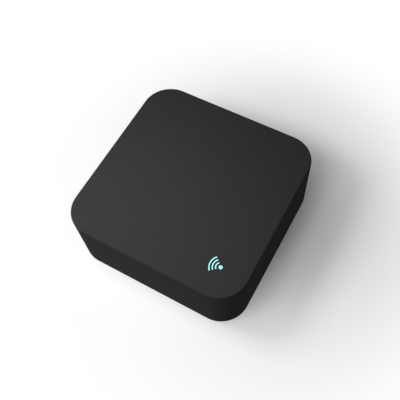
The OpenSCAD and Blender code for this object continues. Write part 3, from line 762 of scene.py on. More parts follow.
def add_piece(name: str, solid: Solid, slot: str, node: str = "", body: Body = Body.CASE,
              edge: float = 0.0, sharp: float = SHARP) -> None:
    """Makes a piece of the object, dresses it and puts it on its body.

    Args:
        name: Name of the piece.
        solid: Its shape.
        slot: Slot that its finish comes from.
        node: CAD node that it stands for, or nothing.
        body: Body that it rides on.
        edge: Width of its broken edges, or 0.
        sharp: Angle above which an edge counts as sharp, in degrees.
    """
    mesh = solid.mesh(name, MM)
    mesh.shade_smooth()
    mesh.set_sharp_from_angle(angle=math.radians(sharp))
    piece = put(name, mesh)
    smooth(piece, sharp, edge)
    dress(piece, slot)
    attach(piece, body.value)
    if node:
        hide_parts(node)
    LOG.info("piece %s: %d faces", name, len(mesh.polygons))


# Camera, floor and light


@dataclass
class Camera:
    """The photograph's camera, in millimetres, degrees and the photograph's pixels."""

    focal: float = 585.47
    frame_w: float = 400.0
    sensor: float = 36.0
    azimuth: float = -54.905
    elevation: float = 61.85
    roll: float = -6.704
    distance: float = 195.158
    slide_right: float = 1.093
    slide_up: float = 5.255
    clip_start: float = 10.0

    def build(self) -> None:
        """Makes the camera and gives it to the scene."""
        data = bpy.data.cameras.new("photo_camera")
        data.sensor_width = self.sensor
        data.lens = self.sensor * self.focal / self.frame_w
        data.clip_start = self.clip_start * MM
        view = turn(self.azimuth) @ turn(90 - self.elevation, "X") @ turn(self.roll)
        view = view @ move(self.slide_right, self.slide_up, self.distance)
        view.translation *= MM
        camera = put("photo_camera", data)
        camera.matrix_world = view
        bpy.context.scene.camera = camera


@dataclass
class Lamp:
    """One soft round lamp that is aimed at the middle of the case, in degrees, millimetres and watts."""

    name: str
    azimuth: float
    elevation: float
    distance: float
    size: float
    power: float
    aim: Point = (0.0, 0.0, 11.0)

    def build(self) -> None:
        """Makes the lamp."""
        data = bpy.data.lights.new(self.name, "AREA")
        data.shape = "DISK"
        data.size = self.size * MM
        data.energy = self.power
        away = turn(self.azimuth) @ turn(-self.elevation, "Y") @ Vector((1, 0, 0))
        lamp = put(self.name, data)
        lamp.location = (away * self.distance + Vector(self.aim)) * MM
        lamp.rotation_euler = away.to_track_quat("Z", "Y").to_euler()
        lamp.visible_camera = False


@dataclass
class Studio:
    """The white floor, the white ground behind it and the lamps."""

    floor_half: float = 900.0
    floor_depth: float = 8.0
    floor_colour: Colour = (0.86, 0.86, 0.86)
    floor_glow: float = 0.075
    fade_centre: Point = (10.0, -15.0, 0.0)
    fade_start: float = 10.0
    fade_end: float = 80.0
    world_light: float = 0.05
    lamps: tuple[Lamp, ...] = (
        Lamp("lamp_over_back_left", 125, 60, 100, 40, 0.0775),
        Lamp("lamp_over_left", 200, 65, 100, 40, 0.0326),
        Lamp("lamp_low_back_left", 145, 15, 300, 150, 0.276),
        Lamp("lamp_low_right", 350, 12, 600, 300, 0.46),
    )

    def build(self) -> None:
        """Makes the floor, the world and the lamps, and sets the view."""
        half = self.floor_half
        slab = Solid.prism(rounded(half, half, half / 2), -self.floor_depth, 0)
        floor = put("floor", slab.mesh("floor", MM))
        floor.data.materials.append(self.floor_material())
        self.world()
        for lamp in self.lamps:
            lamp.build()
        bpy.context.scene.view_settings.view_transform = "Standard"

    def floor_material(self) -> bpy.types.Material:
        """Builds the pale floor, which the camera sees turn white away from the object and its shadow.

        Returns:
            The floor's material.
        """
        material = bpy.data.materials.new("floor")
        graph = Graph(material)
        plain = graph.add("ShaderNodeBsdfDiffuse", {"Color": self.floor_colour}).outputs[0]
        glow, white = (graph.light("ShaderNodeEmission", strength) for strength in (self.floor_glow, 1.0))
        near = graph.add("ShaderNodeAddShader", {0: plain, 1: glow}).outputs[0]
        centre = tuple(c * MM for c in self.fade_centre)
        away = graph.add("ShaderNodeVectorMath", {0: graph.place, 1: centre}, operation="DISTANCE")
        fade = graph.span(away.outputs["Value"], 0, 1, self.fade_start * MM, self.fade_end * MM,
                          interpolation_type="SMOOTHSTEP")
        graph.close(graph.mix(graph.seen(), plain, graph.mix(fade, near, white)))
        return material

    def world(self) -> None:
        """Builds the world: soft light for the object, white for the camera."""
        world = bpy.data.worlds.new("studio")
        graph = Graph(world, "ShaderNodeOutputWorld")
        soft, white = (graph.light("ShaderNodeBackground", strength) for strength in (self.world_light, 1.0))
        graph.close(graph.mix(graph.seen(), soft, white))
        bpy.context.scene.world = world


# Case


@dataclass(frozen=True)
class Plan:
    """Sizes and places that several pieces share."""

    half: float = 29.0
    height: float = 22.0
    ceiling: float = 20.4
    port_z: float = 9.25
    button_x: float = 11.0
    socket_half_w: float = 3.75
    ear_y: float = 24.18
    hook_place: float = 15.08
    board_low: float = 6.8
    board_top: float = 8.0
    chip_low: float = 8.8
    lead: float = 0.5
    lead_edge: float = 0.05
    lead_low: float = 5.4
    screw_x: float = 21.5
    screw_y: float = 10.4
    pins: tuple[Pair, ...] = ((7.4, -22.2), (-5.35, 21.3))

    def screws(self) -> list[Matrix]:
        """Returns the places of the four board screws."""
        return corners(self.screw_x, self.screw_y)


PLAN = Plan()


def straight_lead(top: float) -> Solid:
    """Draws a square lead from under the board up to the part that it belongs to."""
    half = PLAN.lead / 2
    return Solid.prism(rounded(half, half, PLAN.lead_edge, steps=2), PLAN.lead_low, top)


@dataclass(frozen=True)
class Symbol:
    """The status symbol: a dot and arcs about it."""

    x: float = -19.76
    y: float = -20.24
    dot: float = 0.57
    line: float = 0.33
    first: float = 1.4
    pitch: float = 0.93
    spread: float = 42.0
    arcs: int = 3

    def solid(self, low: float, high: float, grow: float = 0.0) -> Solid:
        """Raises the symbol.

        Args:
            low: Its lower level.
            high: Its upper level.
            grow: How much wider it is all round.

        Returns:
            The symbol as one mesh.
        """
        parts = [Solid.prism(circle(self.dot + grow, 48), low, high)]
        half = self.line / 2 + grow
        right, left = 90 - self.spread, 90 + self.spread
        for i in range(self.arcs):
            radius = self.first + i * self.pitch
            near, far = arc((0, 0), radius, right, left, 1)
            outline = arc((0, 0), radius + half, right, left, 40) + arc(far, half, left, left + 180, 12)[1:-1]
            outline += arc((0, 0), radius - half, left, right, 40)
            outline += arc(near, half, right - 180, right, 12)[1:-1]
            parts.append(Solid.prism(outline, low, high))
        return Solid.joined(parts).placed(move(self.x, self.y))


@dataclass
class StatusLight:
    """The light guide behind the symbol, and the foam sleeve round its stem."""

    x: float = -19.9
    y: float = -18.94
    half_x: float = 3.656
    half_y: float = 3.24
    corner: float = 0.8
    plate: float = 1.0
    stem: float = 2.1
    tip: float = 1.5
    tip_z: float = 10.2
    tip_edge: float = 0.2
    sleeve_bore: float = 2.45
    sleeve_r: float = 3.25
    sleeve_top: float = 19.4
    sleeve_edge: float = 0.1
    symbol: Symbol = Symbol()

    def outline(self, grow: float = 0.0) -> Outline:
        """Draws the guide's plate, grown all round."""
        return rounded(self.half_x + grow, self.half_y + grow, self.corner + grow, steps=8)

    def build(self) -> None:
        """Fuses the symbol, the plate and the stem, and adds the guide."""
        under, middle = PLAN.ceiling, PLAN.ceiling - self.plate / 2
        plate = Solid.prism(self.outline(), under - self.plate, under)
        stem = Solid.revolve([(0, self.tip_z), (self.tip - self.tip_edge, self.tip_z),
                              (self.tip, self.tip_z + self.tip_edge), (self.stem, middle), (0, middle)],
                             steps=48)
        guide = plate.fused(stem).placed(move(self.x, self.y)).fused(self.symbol.solid(middle, PLAN.height))
        add_piece("status_guide_moulding", guide, "lit_guide", "status_light_guide")

    def sleeve(self) -> None:
        """Adds the foam sleeve."""
        bore, wide, edge = self.sleeve_bore, self.sleeve_r, self.sleeve_edge
        low, top = PLAN.board_top, self.sleeve_top
        ring = [(bore, low), (wide - edge, low), (wide, low + edge), (wide, top - edge), (wide - edge, top),
                (bore, top)]
        sleeve = Solid.hoop(ring, steps=64).placed(move(self.x, self.y))
        add_piece("guide_sleeve", sleeve, "sleeve_foam", "light_sleeve")


@dataclass
class TopCover:
    """The one moulding of roof and four sides."""

    corner: float = 9.0
    edge: float = 0.5
    wall: float = 1.8
    skirt: float = 0.4
    heel: float = 0.15
    hairline: float = 0.02
    sunk: float = 0.5
    rib_place: float = 8.06
    rib_w: float = 1.2
    rib_d: float = 1.0
    rib_low: float = 3.5
    rib_edge: float = 0.15
    rib_by_button: int = 2
    frame_h: float = 1.4
    frame_t: float = 0.8
    frame_gap: float = 0.1
    hook_w: float = 5.3
    hook_low: float = 4.55
    hook_high: float = 6.45
    hook_depth: float = 0.5
    recess: Pocket = Pocket(5.5, 3.0, 1.4, depth=0.9, lip=0.2, toe=0.15)
    throat: Section = (3.9, 1.4, 0.4)
    ring: Pocket = Pocket(2.6, 2.6, 2.6, depth=0.3, lip=0.12, toe=0.1)
    button_bore: float = 1.62
    bore_depth: float = 3.0

    def shell(self) -> Solid:
        """Lofts the roof and sides from the ceiling down inside and up outside.

        Returns:
            The bare shell.
        """
        levels = [(self.wall, PLAN.ceiling), (self.wall, self.skirt + self.heel),
                  (self.wall - self.heel, self.skirt)]
        levels += arc((self.heel, self.skirt + self.heel), self.heel, 270, 180, 4)
        levels += arc((self.edge, PLAN.height - self.edge), self.edge, 180, 90, 8)
        return Solid.block(PLAN.half, PLAN.half, self.corner, levels)

    def ribs(self) -> Solid:
        """Shapes the ribs inside the sides, but for the one next to the button.

        Returns:
            The ribs as one mesh.
        """
        far, side, edge = PLAN.half - self.wall + self.sunk, self.rib_w / 2, self.rib_edge
        near = PLAN.half - self.wall - self.rib_d
        outline = [(near, edge - side), (near + edge, -side), (far, -side), (far, side), (near + edge, side),
                   (near, side - edge)]
        places = each_side(self.rib_place)
        del places[self.rib_by_button]
        return Solid.prism(outline, self.rib_low, PLAN.ceiling + self.sunk).repeated(places)

    def guide_frame(self, guide: StatusLight) -> Solid:
        """Shapes the low frame under the roof that holds the light guide.

        Args:
            guide: The status light.

        Returns:
            The frame.
        """
        low = PLAN.ceiling - self.frame_h
        outer = Solid.prism(guide.outline(self.frame_t), low, (PLAN.ceiling + PLAN.height) / 2)
        inner = Solid.prism(guide.outline(self.frame_gap), low - OVER, PLAN.ceiling)
        return outer.cut(inner).placed(move(guide.x, guide.y))

    def build(self, guide: StatusLight) -> None:
        """Cuts and fuses the shell's details and adds it.

        Args:
            guide: The status light, whose guide the cover holds.
        """
        inner, half = PLAN.half - self.wall, self.hook_w / 2
        pocket = Solid.box((inner - OVER, -half, self.hook_low),
                           (inner + self.hook_depth, half, self.hook_high))
        back, ring = on_back(0), on_back(PLAN.button_x)
        shell = self.shell().fused(self.ribs()).fused(self.guide_frame(guide))
        shell = shell.cut(
            guide.symbol.solid(PLAN.ceiling - OVER, PLAN.height + OVER, self.hairline),
            pocket.repeated(each_side(PLAN.hook_place)),
            self.recess.cutter().placed(back),
            Solid.prism(rounded(*self.throat, steps=8), -self.bore_depth, OVER).placed(back),
            self.ring.cutter().placed(ring),
            Solid.rod(self.button_bore, -self.bore_depth, OVER, ARC_STEPS).placed(ring))
        add_piece("top_cover_moulding", shell, "case_plastic", "top_cover")


@dataclass
class BasePlate:
    """The plate that closes the case, with its posts, pins, hooks and rubber feet."""

    half: float = 27.05
    corner: float = 7.05
    low: float = 0.7
    top: float = 2.5
    rim_top: float = 3.5
    rim_t: float = 1.0
    rim_edge: float = 0.1
    heel: float = 0.3
    sunk: float = 0.5
    post: float = 2.4
    post_edge: float = 0.15
    bore: float = 0.97
    bore_depth: float = 5.5
    gusset_half_w: float = 3.4
    gusset_half_t: float = 0.4
    gusset_drop: float = 1.5
    pin: float = 1.0
    pin_seat: float = 1.5
    pin_over: float = 0.5
    pin_edge: float = 0.2
    hook_w: float = 5.0
    hook_gap: float = 0.05
    hook_top: float = 6.3
    barb_z: float = 4.7
    barb_t: float = 0.4
    barb_edge: float = 0.08
    bite: float = 0.5
    foot_place: float = 19.45
    foot_r: float = 3.5
    foot_edge: float = 0.3
    foot_sole: Profile = ((0, 0.12), (1.2, 0.12), (1.35, 0), (2.1, 0), (2.2, 0.1), (2.4, 0.1), (2.5, 0))
    foot_top: Profile = ((3.5, 1.2), (3.4, 1.3), (0, 1.3))
    foot_pocket: Pocket = Pocket(3.6, 3.6, 3.6, depth=0.6, lip=0.12)
    label_field: Pocket = Pocket(13, 8, 2, depth=0.25, lip=0.1, toe=0.1)

    def plate(self) -> Solid:
        """Lofts the plate and its rim.

        Returns:
            The bare plate.
        """
        low, top, edge = self.rim_top - self.rim_edge, self.rim_top, self.rim_edge
        levels = arc((self.heel, self.low + self.heel), self.heel, 270, 180, 6)
        levels += [(0, low), (edge, top), (self.rim_t - edge, top), (self.rim_t, low), (self.rim_t, self.top)]
        return Solid.block(self.half, self.half, self.corner, levels)

    def hook(self) -> Solid:
        """Shapes one springy hook with its barb.

        Returns:
            The hook.
        """
        root, back, tip = self.half - self.rim_t, self.half - self.hook_gap, self.half + self.bite
        low = self.top - self.sunk
        side = [(root, low), (back, low), (back, self.barb_z), (tip - self.barb_edge, self.barb_z),
                (tip, self.barb_z + self.barb_edge), (tip, self.barb_z + self.barb_t), (back, self.hook_top),
                (root, self.hook_top)]
        return Solid.upright(side, self.hook_w / 2)

    def build(self) -> None:
        """Fuses the standing parts, cuts the pockets and bores, and adds the plate and the feet."""
        low, seat, peg = self.top - self.sunk, PLAN.board_low, PLAN.board_top + self.pin_over
        post = Solid.revolve([(0, low), (self.post, low), (self.post, seat - self.post_edge),
                              (self.post - self.post_edge, seat), (0, seat)], steps=48)
        gusset = Solid.box((-self.gusset_half_w, -self.gusset_half_t, low),
                           (self.gusset_half_w, self.gusset_half_t, seat - self.gusset_drop))
        pin = Solid.revolve([(0, low), (self.pin_seat, low), (self.pin_seat, seat), (self.pin, seat),
                             (self.pin, peg - self.pin_edge), (self.pin - self.pin_edge, peg), (0, peg)],
                            steps=48)
        screws, pins = PLAN.screws(), pin.repeated(move(*place) for place in PLAN.pins)
        plate = self.plate().fused(
            self.hook().repeated(each_side(PLAN.hook_place)), post.repeated(screws), gusset.repeated(screws),
            gusset.repeated(place @ turn(90) for place in screws), pins)
        under = move(z=self.low) @ turn(180, "X")
        feet = [place @ under for place in corners(self.foot_place, self.foot_place)]
        bore = Solid.rod(self.bore, PLAN.board_top - self.bore_depth, PLAN.board_top)
        plate = plate.cut(self.foot_pocket.cutter().repeated(feet), self.label_field.cutter().placed(under),
                          bore.repeated(screws))
        add_piece("base_plate_moulding", plate, "base_plastic", "base_plate")
        self.feet()

    def feet(self) -> None:
        """Adds the four rubber feet, each with a shallow grip ring."""
        side = arc((self.foot_r - self.foot_edge, self.foot_edge), self.foot_edge, -90, 0, 6)
        foot = Solid.revolve([*self.foot_sole, *side, *self.foot_top], steps=72)
        for y, row in zip(SIDES, ("front", "back")):
            for x, column in zip(SIDES, ("left", "right")):
                node = f"foot_{row}_{column}"
                place = move(x * self.foot_place, y * self.foot_place)
                add_piece(f"rubber_{node}", foot.placed(place), "foot_rubber", node)


# Reset button and power socket


@dataclass
class ResetButton:
    """The button in the back wall."""

    radius: float = 1.5
    edge: float = 0.15
    dish: float = 1.2
    hollow: float = 0.184
    dish_steps: int = 6
    flange: float = 2.3
    flange_low: float = -2.65
    flange_high: float = -1.85
    flange_edge: float = 0.1
    stem: float = 0.9
    stem_edge: float = 0.08
    stem_low: float = -3.0

    def build(self) -> None:
        """Turns the button about its own axis and adds it."""
        shares = [i / self.dish_steps for i in range(self.dish_steps + 1)]
        profile = [(self.dish * share, -self.hollow * (1 - share ** 2)) for share in shares]
        profile += arc((self.radius - self.edge, -self.edge), self.edge, 90, 0, 5)
        wide, inner = self.flange, self.flange - self.flange_edge
        profile += [(self.radius, self.flange_high), (inner, self.flange_high),
                    (wide, self.flange_high - self.flange_edge), (wide, self.flange_low + self.flange_edge),
                    (inner, self.flange_low), (self.stem, self.flange_low),
                    (self.stem, self.stem_low + self.stem_edge), (self.stem - self.stem_edge, self.stem_low),
                    (0, self.stem_low)]
        button = Solid.revolve(profile, steps=72).placed(on_back(PLAN.button_x))
        add_piece("reset_button_cap", button, "button_plastic", "reset_button", Body.BUTTON)


@dataclass
class PowerSocket:
    """The small socket in the back: a rolled shell and a core with a tongue."""

    mouth: float = 28.1
    back: float = 22.5
    half_h: float = 1.25
    bevel: float = 0.9
    sheet: float = 0.3
    # Inset, bend radius and place behind the mouth of each ring of the rolled lip, from the outside in.
    lip: tuple[tuple[float, float, float], ...] = (
        (0, 0.45, 0.08), (0.08, 0.4, 0), (0.18, 0.35, 0), (0.3, 0.3, 0.12))
    bend_steps: int = 6
    ear_half_w: float = 0.65
    ear_low: float = 6.3
    window: Section = (0.45, 0.7, 0.15)
    window_x: float = 1.8
    window_y: float = 26.0
    core_inset: float = 0.32
    core_bend: float = 0.28
    core_mouth: float = 24.1
    tongue: Section = (1.85, 0.35, 0.12)
    tongue_up: float = 0.25
    tongue_back: float = 23.3
    tongue_mouth: float = 27.3
    groove_pitch: float = 0.65
    groove_half_w: float = 0.17
    groove_back: float = 22.2
    groove_mouth: float = 27.02
    groove_low: float = -0.24
    groove_high: float = -0.08

    def ring(self, inset: float, soft: float, y: float) -> list[Point]:
        """Draws the socket's section, its lower corners bevelled and its bends rounded.

        Args:
            inset: How far inside the shell's outside it runs.
            soft: Radius of the bends.
            y: Its place along Y.

        Returns:
            The ring of points.
        """
        sharp = [Vector(p) for p in bevelled(PLAN.socket_half_w - inset, self.half_h - inset, self.bevel)]
        points: list[Point] = []
        for before, here, after in zip(sharp[-1:] + sharp, sharp, sharp[1:] + sharp[:1]):
            start = here + (before - here).normalized() * soft
            end = here + (after - here).normalized() * soft
            for step in range(self.bend_steps + 1):
                t = step / self.bend_steps
                point = start * (1 - t) ** 2 + here * (2 * t * (1 - t)) + end * t ** 2
                points.append((point.x, y, point.y + PLAN.port_z))
        return points

    def build(self) -> None:
        """Builds the shell and the core, and adds them."""
        rolled = [self.ring(inset, soft, self.mouth - behind) for inset, soft, behind in self.lip]
        outer, inner = (self.ring(*row[:2], self.back) for row in (self.lip[0], self.lip[-1]))
        shell = Solid.loft([outer, *rolled, inner], closed=True)
        ear = Solid.box((-self.sheet / 2, PLAN.ear_y - self.ear_half_w, self.ear_low),
                        (self.sheet / 2, PLAN.ear_y + self.ear_half_w, PLAN.port_z))
        window = Solid.prism(rounded(*self.window, steps=5), PLAN.port_z, PLAN.port_z + 2 * self.half_h)
        shell = shell.fused(*(ear.placed(move(side * PLAN.socket_half_w)) for side in SIDES))
        shell = shell.cut(*(window.placed(move(side * self.window_x, self.window_y)) for side in SIDES))
        add_piece("power_socket_sleeve", shell, "socket_steel", "power_socket_shell")
        core = Solid.loft([self.ring(self.core_inset, self.core_bend, y)
                           for y in (self.back, self.core_mouth)])
        tongue = Solid.prism(rounded(*self.tongue, steps=4), -self.tongue_mouth, -self.tongue_back)
        tongue = tongue.placed(move(z=PLAN.port_z + self.tongue_up) @ turn(90, "X"))
        groove = Solid.box((-self.groove_half_w, self.groove_back, PLAN.port_z + self.groove_low),
                           (self.groove_half_w, self.groove_mouth, PLAN.port_z + self.groove_high))
        core = core.fused(tongue).cut(*(groove.placed(move(self.groove_pitch * i)) for i in range(-2, 3)))
        add_piece("power_socket_tongue", core, "socket_plastic", "power_socket_core")


# Board and what stands on it


@dataclass
class Emitters:
    """Seven clear emitters that cover the room, with their lead frames and bent leads."""

    lens: float = 2.5
    step: float = 0.4
    flange: float = 1.0
    flange_edge: float = 0.1
    flat: float = 0.3
    flat_over: float = 0.02
    fillet: float = 0.06
    hollow: Profile = ((0, 0.25), (1.7, 0.25), (1.9, 0))
    length: float = 8.6
    level: float = 11.0
    side_back: float = 17.8
    corner_back: float = 26.084
    pitch: float = 2.54
    bend: float = 1.2
    bend_r: float = 0.35
    lead_tip: float = 0.15
    leaf: float = 0.2
    frame_top: float = 3.6
    post_top: float = 2.6
    anvil_near: float = 0.05
    anvil_low: float = 2.4
    anvil_slope: Profile = ((0.45, 3.6), (0.05, 3.1))
    cup: Profile = ((0, 3.1), (0.3, 3.2), (0.62, 3.75), (0.85, 3.75), (0.85, 3.5), (0.5, 2.7), (0, 2.7))
    die: Section = (0.17, 0.17, 0.03)
    die_low: float = 3.05
    die_top: float = 3.3
    pad: Profile = ((-0.77, 0), (-0.77, 3.2), (-0.35, 2.2), (-0.35, 2.5), (-0.97, 3.6))
    up: Point = (3.6, -3.12, 9.0)
    facing: tuple[tuple[str, float], ...] = (
        ("front", -90), ("left", 180), ("right", 0),
        ("front_right", -45), ("back_left", 135), ("back_right", 45))

    def stands(self) -> dict[str, Matrix]:
        """Returns the back of each lying emitter at floor level, with its front towards local +X."""
        return {name: turn(angle) @ move(self.corner_back if angle % 90 else self.side_back)
                for name, angle in self.facing}

    def lying_leads(self, shift: float = 0.0) -> list[Matrix]:
        """Returns the place of each lead of the lying emitters, moved backwards by a shift."""
        steps = [move(-shift, side * self.pitch / 2) for side in SIDES]
        return [stand @ step for stand in self.stands().values() for step in steps]

    def standing_leads(self) -> list[Matrix]:
        """Returns the places of the leads of the emitter that points up."""
        return [move(self.up[0] + side * self.pitch / 2, self.up[1]) for side in SIDES]

    def lens_body(self) -> Solid:
        """Turns the flange, the barrel and the dome, and cuts the flange's flat.

        Returns:
            The lens, which stands on its flange.
        """
        wide, top, edge = self.lens + self.step, self.length - self.lens, self.flange_edge
        profile = [*self.hollow, (wide - edge, 0), (wide, edge), (wide, self.flange - edge),
                   (wide - edge, self.flange), (self.lens + self.fillet, self.flange),
                   (self.lens, self.flange + self.fillet)]
        profile += arc((0, top), self.lens, 0, 90, 18)
        cut = Solid.box((-wide, wide - self.flat, -OVER), (wide, wide + OVER, self.flange + self.flat_over))
        return Solid.revolve(profile, steps=72).cut(cut)

    def frames(self) -> Solid:
        """Shapes the two posts inside the lens: one with a cup and a die, one with the wire's pad.

        Returns:
            Both posts as one mesh.
        """
        near, far = self.pitch / 2 - PLAN.lead / 2, self.pitch / 2 + PLAN.lead / 2
        post = Solid.box((near, -self.leaf, 0), (far, self.leaf, self.post_top))
        anvil = Solid.upright([(self.anvil_near, self.anvil_low), (far, self.anvil_low),
                               (far, self.frame_top), *self.anvil_slope], self.leaf)
        cup = Solid.revolve(list(self.cup), steps=32)
        die = Solid.prism(rounded(*self.die, steps=3), self.die_low, self.die_top)
        arm = Solid.upright([(-far, 0), *self.pad, (-far, self.frame_top)], self.leaf)
        return post.fused(anvil, cup, die, arm)

    def bent(self) -> Solid:
        """Bends one lead down from the lens's back through the board.

        Returns:
            The lead.
        """
        half, radius, low, tip = PLAN.lead / 2, self.bend_r, PLAN.lead_low, self.lead_tip
        near, far = -self.bend - half, half - self.bend
        outline = [(0, self.level - half), (0, self.level + half)]
        outline += arc((radius - self.bend, self.level - radius), radius + half, 90, 180, 8)
        outline += [(near, low + tip), (near + tip, low), (far - tip, low), (far, low + tip)]
        outline += arc((far + radius, self.level - radius - half), radius, 180, 90, 8)
        return Solid.prism([(x, -z) for x, z in outline], -half, half).placed(turn(-90, "X"))

    def build(self) -> None:
        """Adds the lenses, the frames in them and the leads."""
        lens, frames = self.lens_body(), self.frames()
        lying = {name: stand @ move(z=self.level) @ turn(90, "Y") for name, stand in self.stands().items()}
        for name, place in (lying | {"up": move(*self.up)}).items():
            add_piece(f"emitter_lens_{name}", lens.placed(place), "emitter_epoxy", f"ir_emitter_{name}")
        inside = frames.repeated([place @ turn(90) for place in lying.values()] + [move(*self.up)])
        add_piece("emitter_frames", inside, "tinned_metal")
        leads = [self.bent().repeated(self.lying_leads()),
                 straight_lead(self.up[2]).repeated(self.standing_leads())]
        add_piece("emitter_bent_leads", Solid.joined(leads), "tinned_metal", "emitter_leads", edge=0.05)


@dataclass
class Receiver:
    """The receiver that learns codes: a dark moulded body with a round lens."""

    x: float = -6.4
    y: float = -14.8
    low: float = 9.4
    half_w: float = 2.9
    half_d: float = 1.5
    height: float = 6.8
    bevel: float = 0.8
    bulge: float = 2.3
    bulge_z: float = 3.6
    pitch: float = 1.77

    def leads(self) -> list[Matrix]:
        """Returns the places of the three leads."""
        return [move(self.x + i * self.pitch, self.y) for i in (-1, 0, 1)]

    def build(self) -> None:
        """Adds the body and its three leads."""
        body = Solid.prism(bevelled(self.half_w, self.half_d, self.bevel), 0, self.height)
        ball = Solid.revolve(arc((0, 0), self.bulge, -90, 90, 32), steps=64)
        ball = ball.placed(move(0, self.bevel - self.half_d, self.bulge_z))
        body = body.fused(ball).placed(move(self.x, self.y, self.low))
        add_piece("receiver_body", body, "receiver_epoxy", "ir_receiver", edge=0.12)
        leads = straight_lead(self.low).repeated(self.leads())
        add_piece("receiver_pins", leads, "tinned_metal", "receiver_leads")


@dataclass(frozen=True)
class Screw:
    """A screw at the board's level: a pan head with a cross recess and a threaded shank."""

    tip: Profile = ((0, 2.8), (0.3, 2.8), (0.8, 3.5))
    thread: Profile = ((0.95, 3.55), (0.95, 3.62), (0.76, 3.78), (0.76, 3.86))
    thread_turns: int = 9
    thread_pitch: float = 0.48
    rim: Profile = ((0.9, 7.95), (1.85, 8.0), (1.9, 8.06), (1.9, 8.55))
    shoulder: Pair = (1.48, 8.6)
    shoulder_radii: Pair = (0.4, 0.7)
    face: Profile = ((1.2, 9.3), (0, 9.3))
    slot: Profile = ((-0.25, 0.35), (-1.05, 0.25), (-1.05, -0.25), (-0.25, -0.35),
                     (0.25, -0.35), (1.05, -0.25), (1.05, 0.25), (0.25, 0.35))
    slot_low: float = 8.65
    angle: float = 20.0

    def solid(self) -> Solid:
        """Turns the screw and cuts its recess.

        Returns:
            The screw, upright about the origin.
        """
        profile = list(self.tip)
        for i in range(self.thread_turns):
            profile += [(radius, z + self.thread_pitch * i) for radius, z in self.thread]
        (x, z), (wide, high) = self.shoulder, self.shoulder_radii
        shoulder = [(x + wide * i, z + high * j) for i, j in arc((0, 0), 1, 0, 75, 5)]
        screw = Solid.revolve([*profile, *self.rim, *shoulder, *self.face], steps=48)
        slot = Solid.prism(list(self.slot), self.slot_low, self.face[0][1] + OVER)
        return screw.cut(slot, slot.placed(turn(90))).placed(turn(self.angle))


@dataclass
class MainBoard:
    """The main board with its holes, its plated rings, its screws and its solder joints."""

    half: float = 26.0
    corner: float = 6.0
    screw_hole: float = 1.25
    screw_ring: Pair = (1.3, 2.2)
    lead_hole: float = 0.45
    lead_ring: Pair = (0.47, 0.85)
    pin_hole: float = 1.12
    ear_slot: Section = (0.3, 0.8, 0.1)
    foil: float = 0.035
    notch_y: float = 25.8
    notch_half: float = 2.6
    # Radius of a solder joint at each depth below the board.
    joint: Profile = (
        (0, 1.05), (0.34, 1.05), (0.36, 0.75), (0.44, 0.45), (0.58, 0.2), (0.8, 0.03), (0, 0.03))
    screw: Screw = Screw()

    def build(self, emitters: Emitters, receiver: Receiver) -> None:
        """Adds the board and what belongs to it.

        Args:
            emitters: The emitters, whose leads pass through the board.
            receiver: The receiver, whose leads pass through the board.
        """
        leads = emitters.lying_leads(emitters.bend) + emitters.standing_leads() + receiver.leads()
        low, high = PLAN.board_low - OVER, PLAN.board_top + OVER
        board = Solid.prism(rounded(self.half, self.half, self.corner), PLAN.board_low, PLAN.board_top)
        slot = Solid.prism(rounded(*self.ear_slot, steps=3), low, high)
        notch = Solid.box((PLAN.button_x - self.notch_half, self.notch_y, low),
                          (PLAN.button_x + self.notch_half, self.half + OVER, high))
        board = board.cut(
            Solid.rod(self.screw_hole, low, high).repeated(PLAN.screws()),
            Solid.rod(self.lead_hole, low, high, steps=5).repeated(leads),
            Solid.rod(self.pin_hole, low, high).repeated(move(*pin) for pin in PLAN.pins),
            *(slot.placed(move(side * PLAN.socket_half_w, PLAN.ear_y)) for side in SIDES), notch)
        add_piece("board_panel", board, "board_laminate", "main_board", edge=0.04)
        rings = []
        for (bore, wide), places in ((self.screw_ring, PLAN.screws()), (self.lead_ring, leads)):
            for level in (PLAN.board_top, PLAN.board_low - self.foil):
                top = level + self.foil
                ring = Solid.hoop([(bore, level), (wide, level), (wide, top), (bore, top)], steps=32)
                rings.append(ring.repeated(places))
        add_piece("board_rings", Solid.joined(rings), "contact_gold")
        joint = Solid.revolve([(radius, PLAN.board_low - depth) for radius, depth in self.joint], steps=24)
        add_piece("board_solder", joint.repeated(leads), "tinned_metal", "lead_solder_joints", sharp=60)
        screws = self.screw.solid().repeated(PLAN.screws())
        add_piece("board_pan_screws", screws, "screw_steel", "board_screws")


@dataclass
class Radio:
    """The pressed lid of the radio module."""

    x: float = -7.9
    y: float = 13.45
    half_w: float = 6.4
    half_d: float = 5.45
    corner: float = 0.8
    high: float = 11.0
    sheet: float = 0.2
    fold: float = 0.3
    vent: float = 0.4
    vent_pitch: float = 2.2

    def build(self) -> None:
        """Adds the lid with its rounded edges and vent holes."""
        centre, inner = (self.fold, self.high - self.fold), self.fold - self.sheet
        levels = arc(centre, inner, 180, 90, 4)[::-1] + [(self.sheet, PLAN.chip_low), (0, PLAN.chip_low)]
        levels += arc(centre, self.fold, 180, 90, 5)
        lid = Solid.block(self.half_w, self.half_d, self.corner, levels, steps=6)
        vent = Solid.rod(self.vent, self.high - OVER, self.high + OVER, steps=6)
        steps = (-self.vent_pitch, 0, self.vent_pitch)
        lid = lid.cut(vent.repeated(move(x, y) for x in steps for y in steps)).placed(move(self.x, self.y))
        add_piece("radio_lid", lid, "switch_steel", "radio_shield")


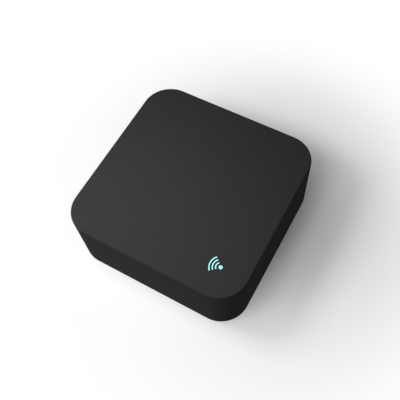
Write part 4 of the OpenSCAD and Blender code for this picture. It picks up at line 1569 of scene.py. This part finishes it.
@dataclass
class Supply:
    """The aluminium can of the supply's capacitor."""

    x: float = 3.35
    y: float = 10.13
    radius: float = 2.5
    height: float = 5.4
    edge: float = 0.12
    groove: float = 0.25
    groove_z: float = 1.1
    shoulder: float = 0.4
    face_r: float = 1.95
    sunk: float = 0.06
    face_edge: float = 0.07
    vent_half: float = 1.5
    vent_end: float = 0.02
    vent_middle: float = 0.12

    def build(self) -> None:
        """Adds the can with its groove, its rolled shoulder and its pressed vent."""
        r, h, top = self.radius, self.height, self.height - self.sunk
        profile = [(0, 0), (r - self.edge, 0), (r, self.edge)]
        profile += arc((r, self.groove_z), self.groove, -90, -270, 8)
        profile += arc((r - self.shoulder, h - self.shoulder), self.shoulder, 0, 90, 6)
        profile += [(self.face_r, h), (self.face_r - self.face_edge, top), (0, top)]
        long, end, wide = self.vent_half, self.vent_end, self.vent_middle
        line = Solid.prism([(-long, end), (-long, -end), (0, -wide), (long, -end), (long, end), (0, wide)],
                           top - self.sunk, h + OVER)
        can = Solid.revolve(profile, steps=72).cut(line, line.placed(turn(60)), line.placed(turn(120)))
        add_piece("supply_can", can.placed(move(self.x, self.y, PLAN.chip_low)), "can_aluminium",
                  "bulk_capacitor")


@dataclass
class Inside:
    """The remaining pieces, which keep their CAD solids under a finish."""

    edge: float = 0.06
    weld: float = 0.001
    flat: float = 1.0
    thin: tuple[str, ...] = ("radio_antenna", "power_socket_contacts", "switch_terminals", "switch_dome",
                             "diode_leads", "transistor_leads")

    def build(self) -> None:
        """Gives every shown CAD node its slot's finish and broken edges."""
        slots = {row["node"]: row["material_slot"] for row in frame["record"]["subparts"]}
        for name, node in frame["nodes"].items():
            if node.hide_render:
                continue
            weld = node.modifiers.new("weld", "WELD")
            weld.merge_threshold = self.weld * MM
            flat = node.modifiers.new("flat", "DECIMATE")
            flat.decimate_type = "DISSOLVE"
            flat.angle_limit = math.radians(self.flat)
            smooth(node, SHARP, self.edge / 3 if name in self.thin else self.edge)
            dress(node, slots[name])
            LOG.info("node %s: %s", name, slots[name])


def main() -> None:
    """Builds the studio and every piece, in order."""
    Camera().build()
    Studio().build()
    light, emitters, receiver = StatusLight(), Emitters(), Receiver()
    TopCover().build(light)
    light.build()
    for part in (BasePlate(), ResetButton(), PowerSocket(), emitters, receiver):
        part.build()
    MainBoard().build(emitters, receiver)
    Radio().build()
    Supply().build()
    light.sleeve()
    Inside().build()


if __name__ == "__main__":
    logging.basicConfig(level=logging.INFO, format="%(message)s")
    main()
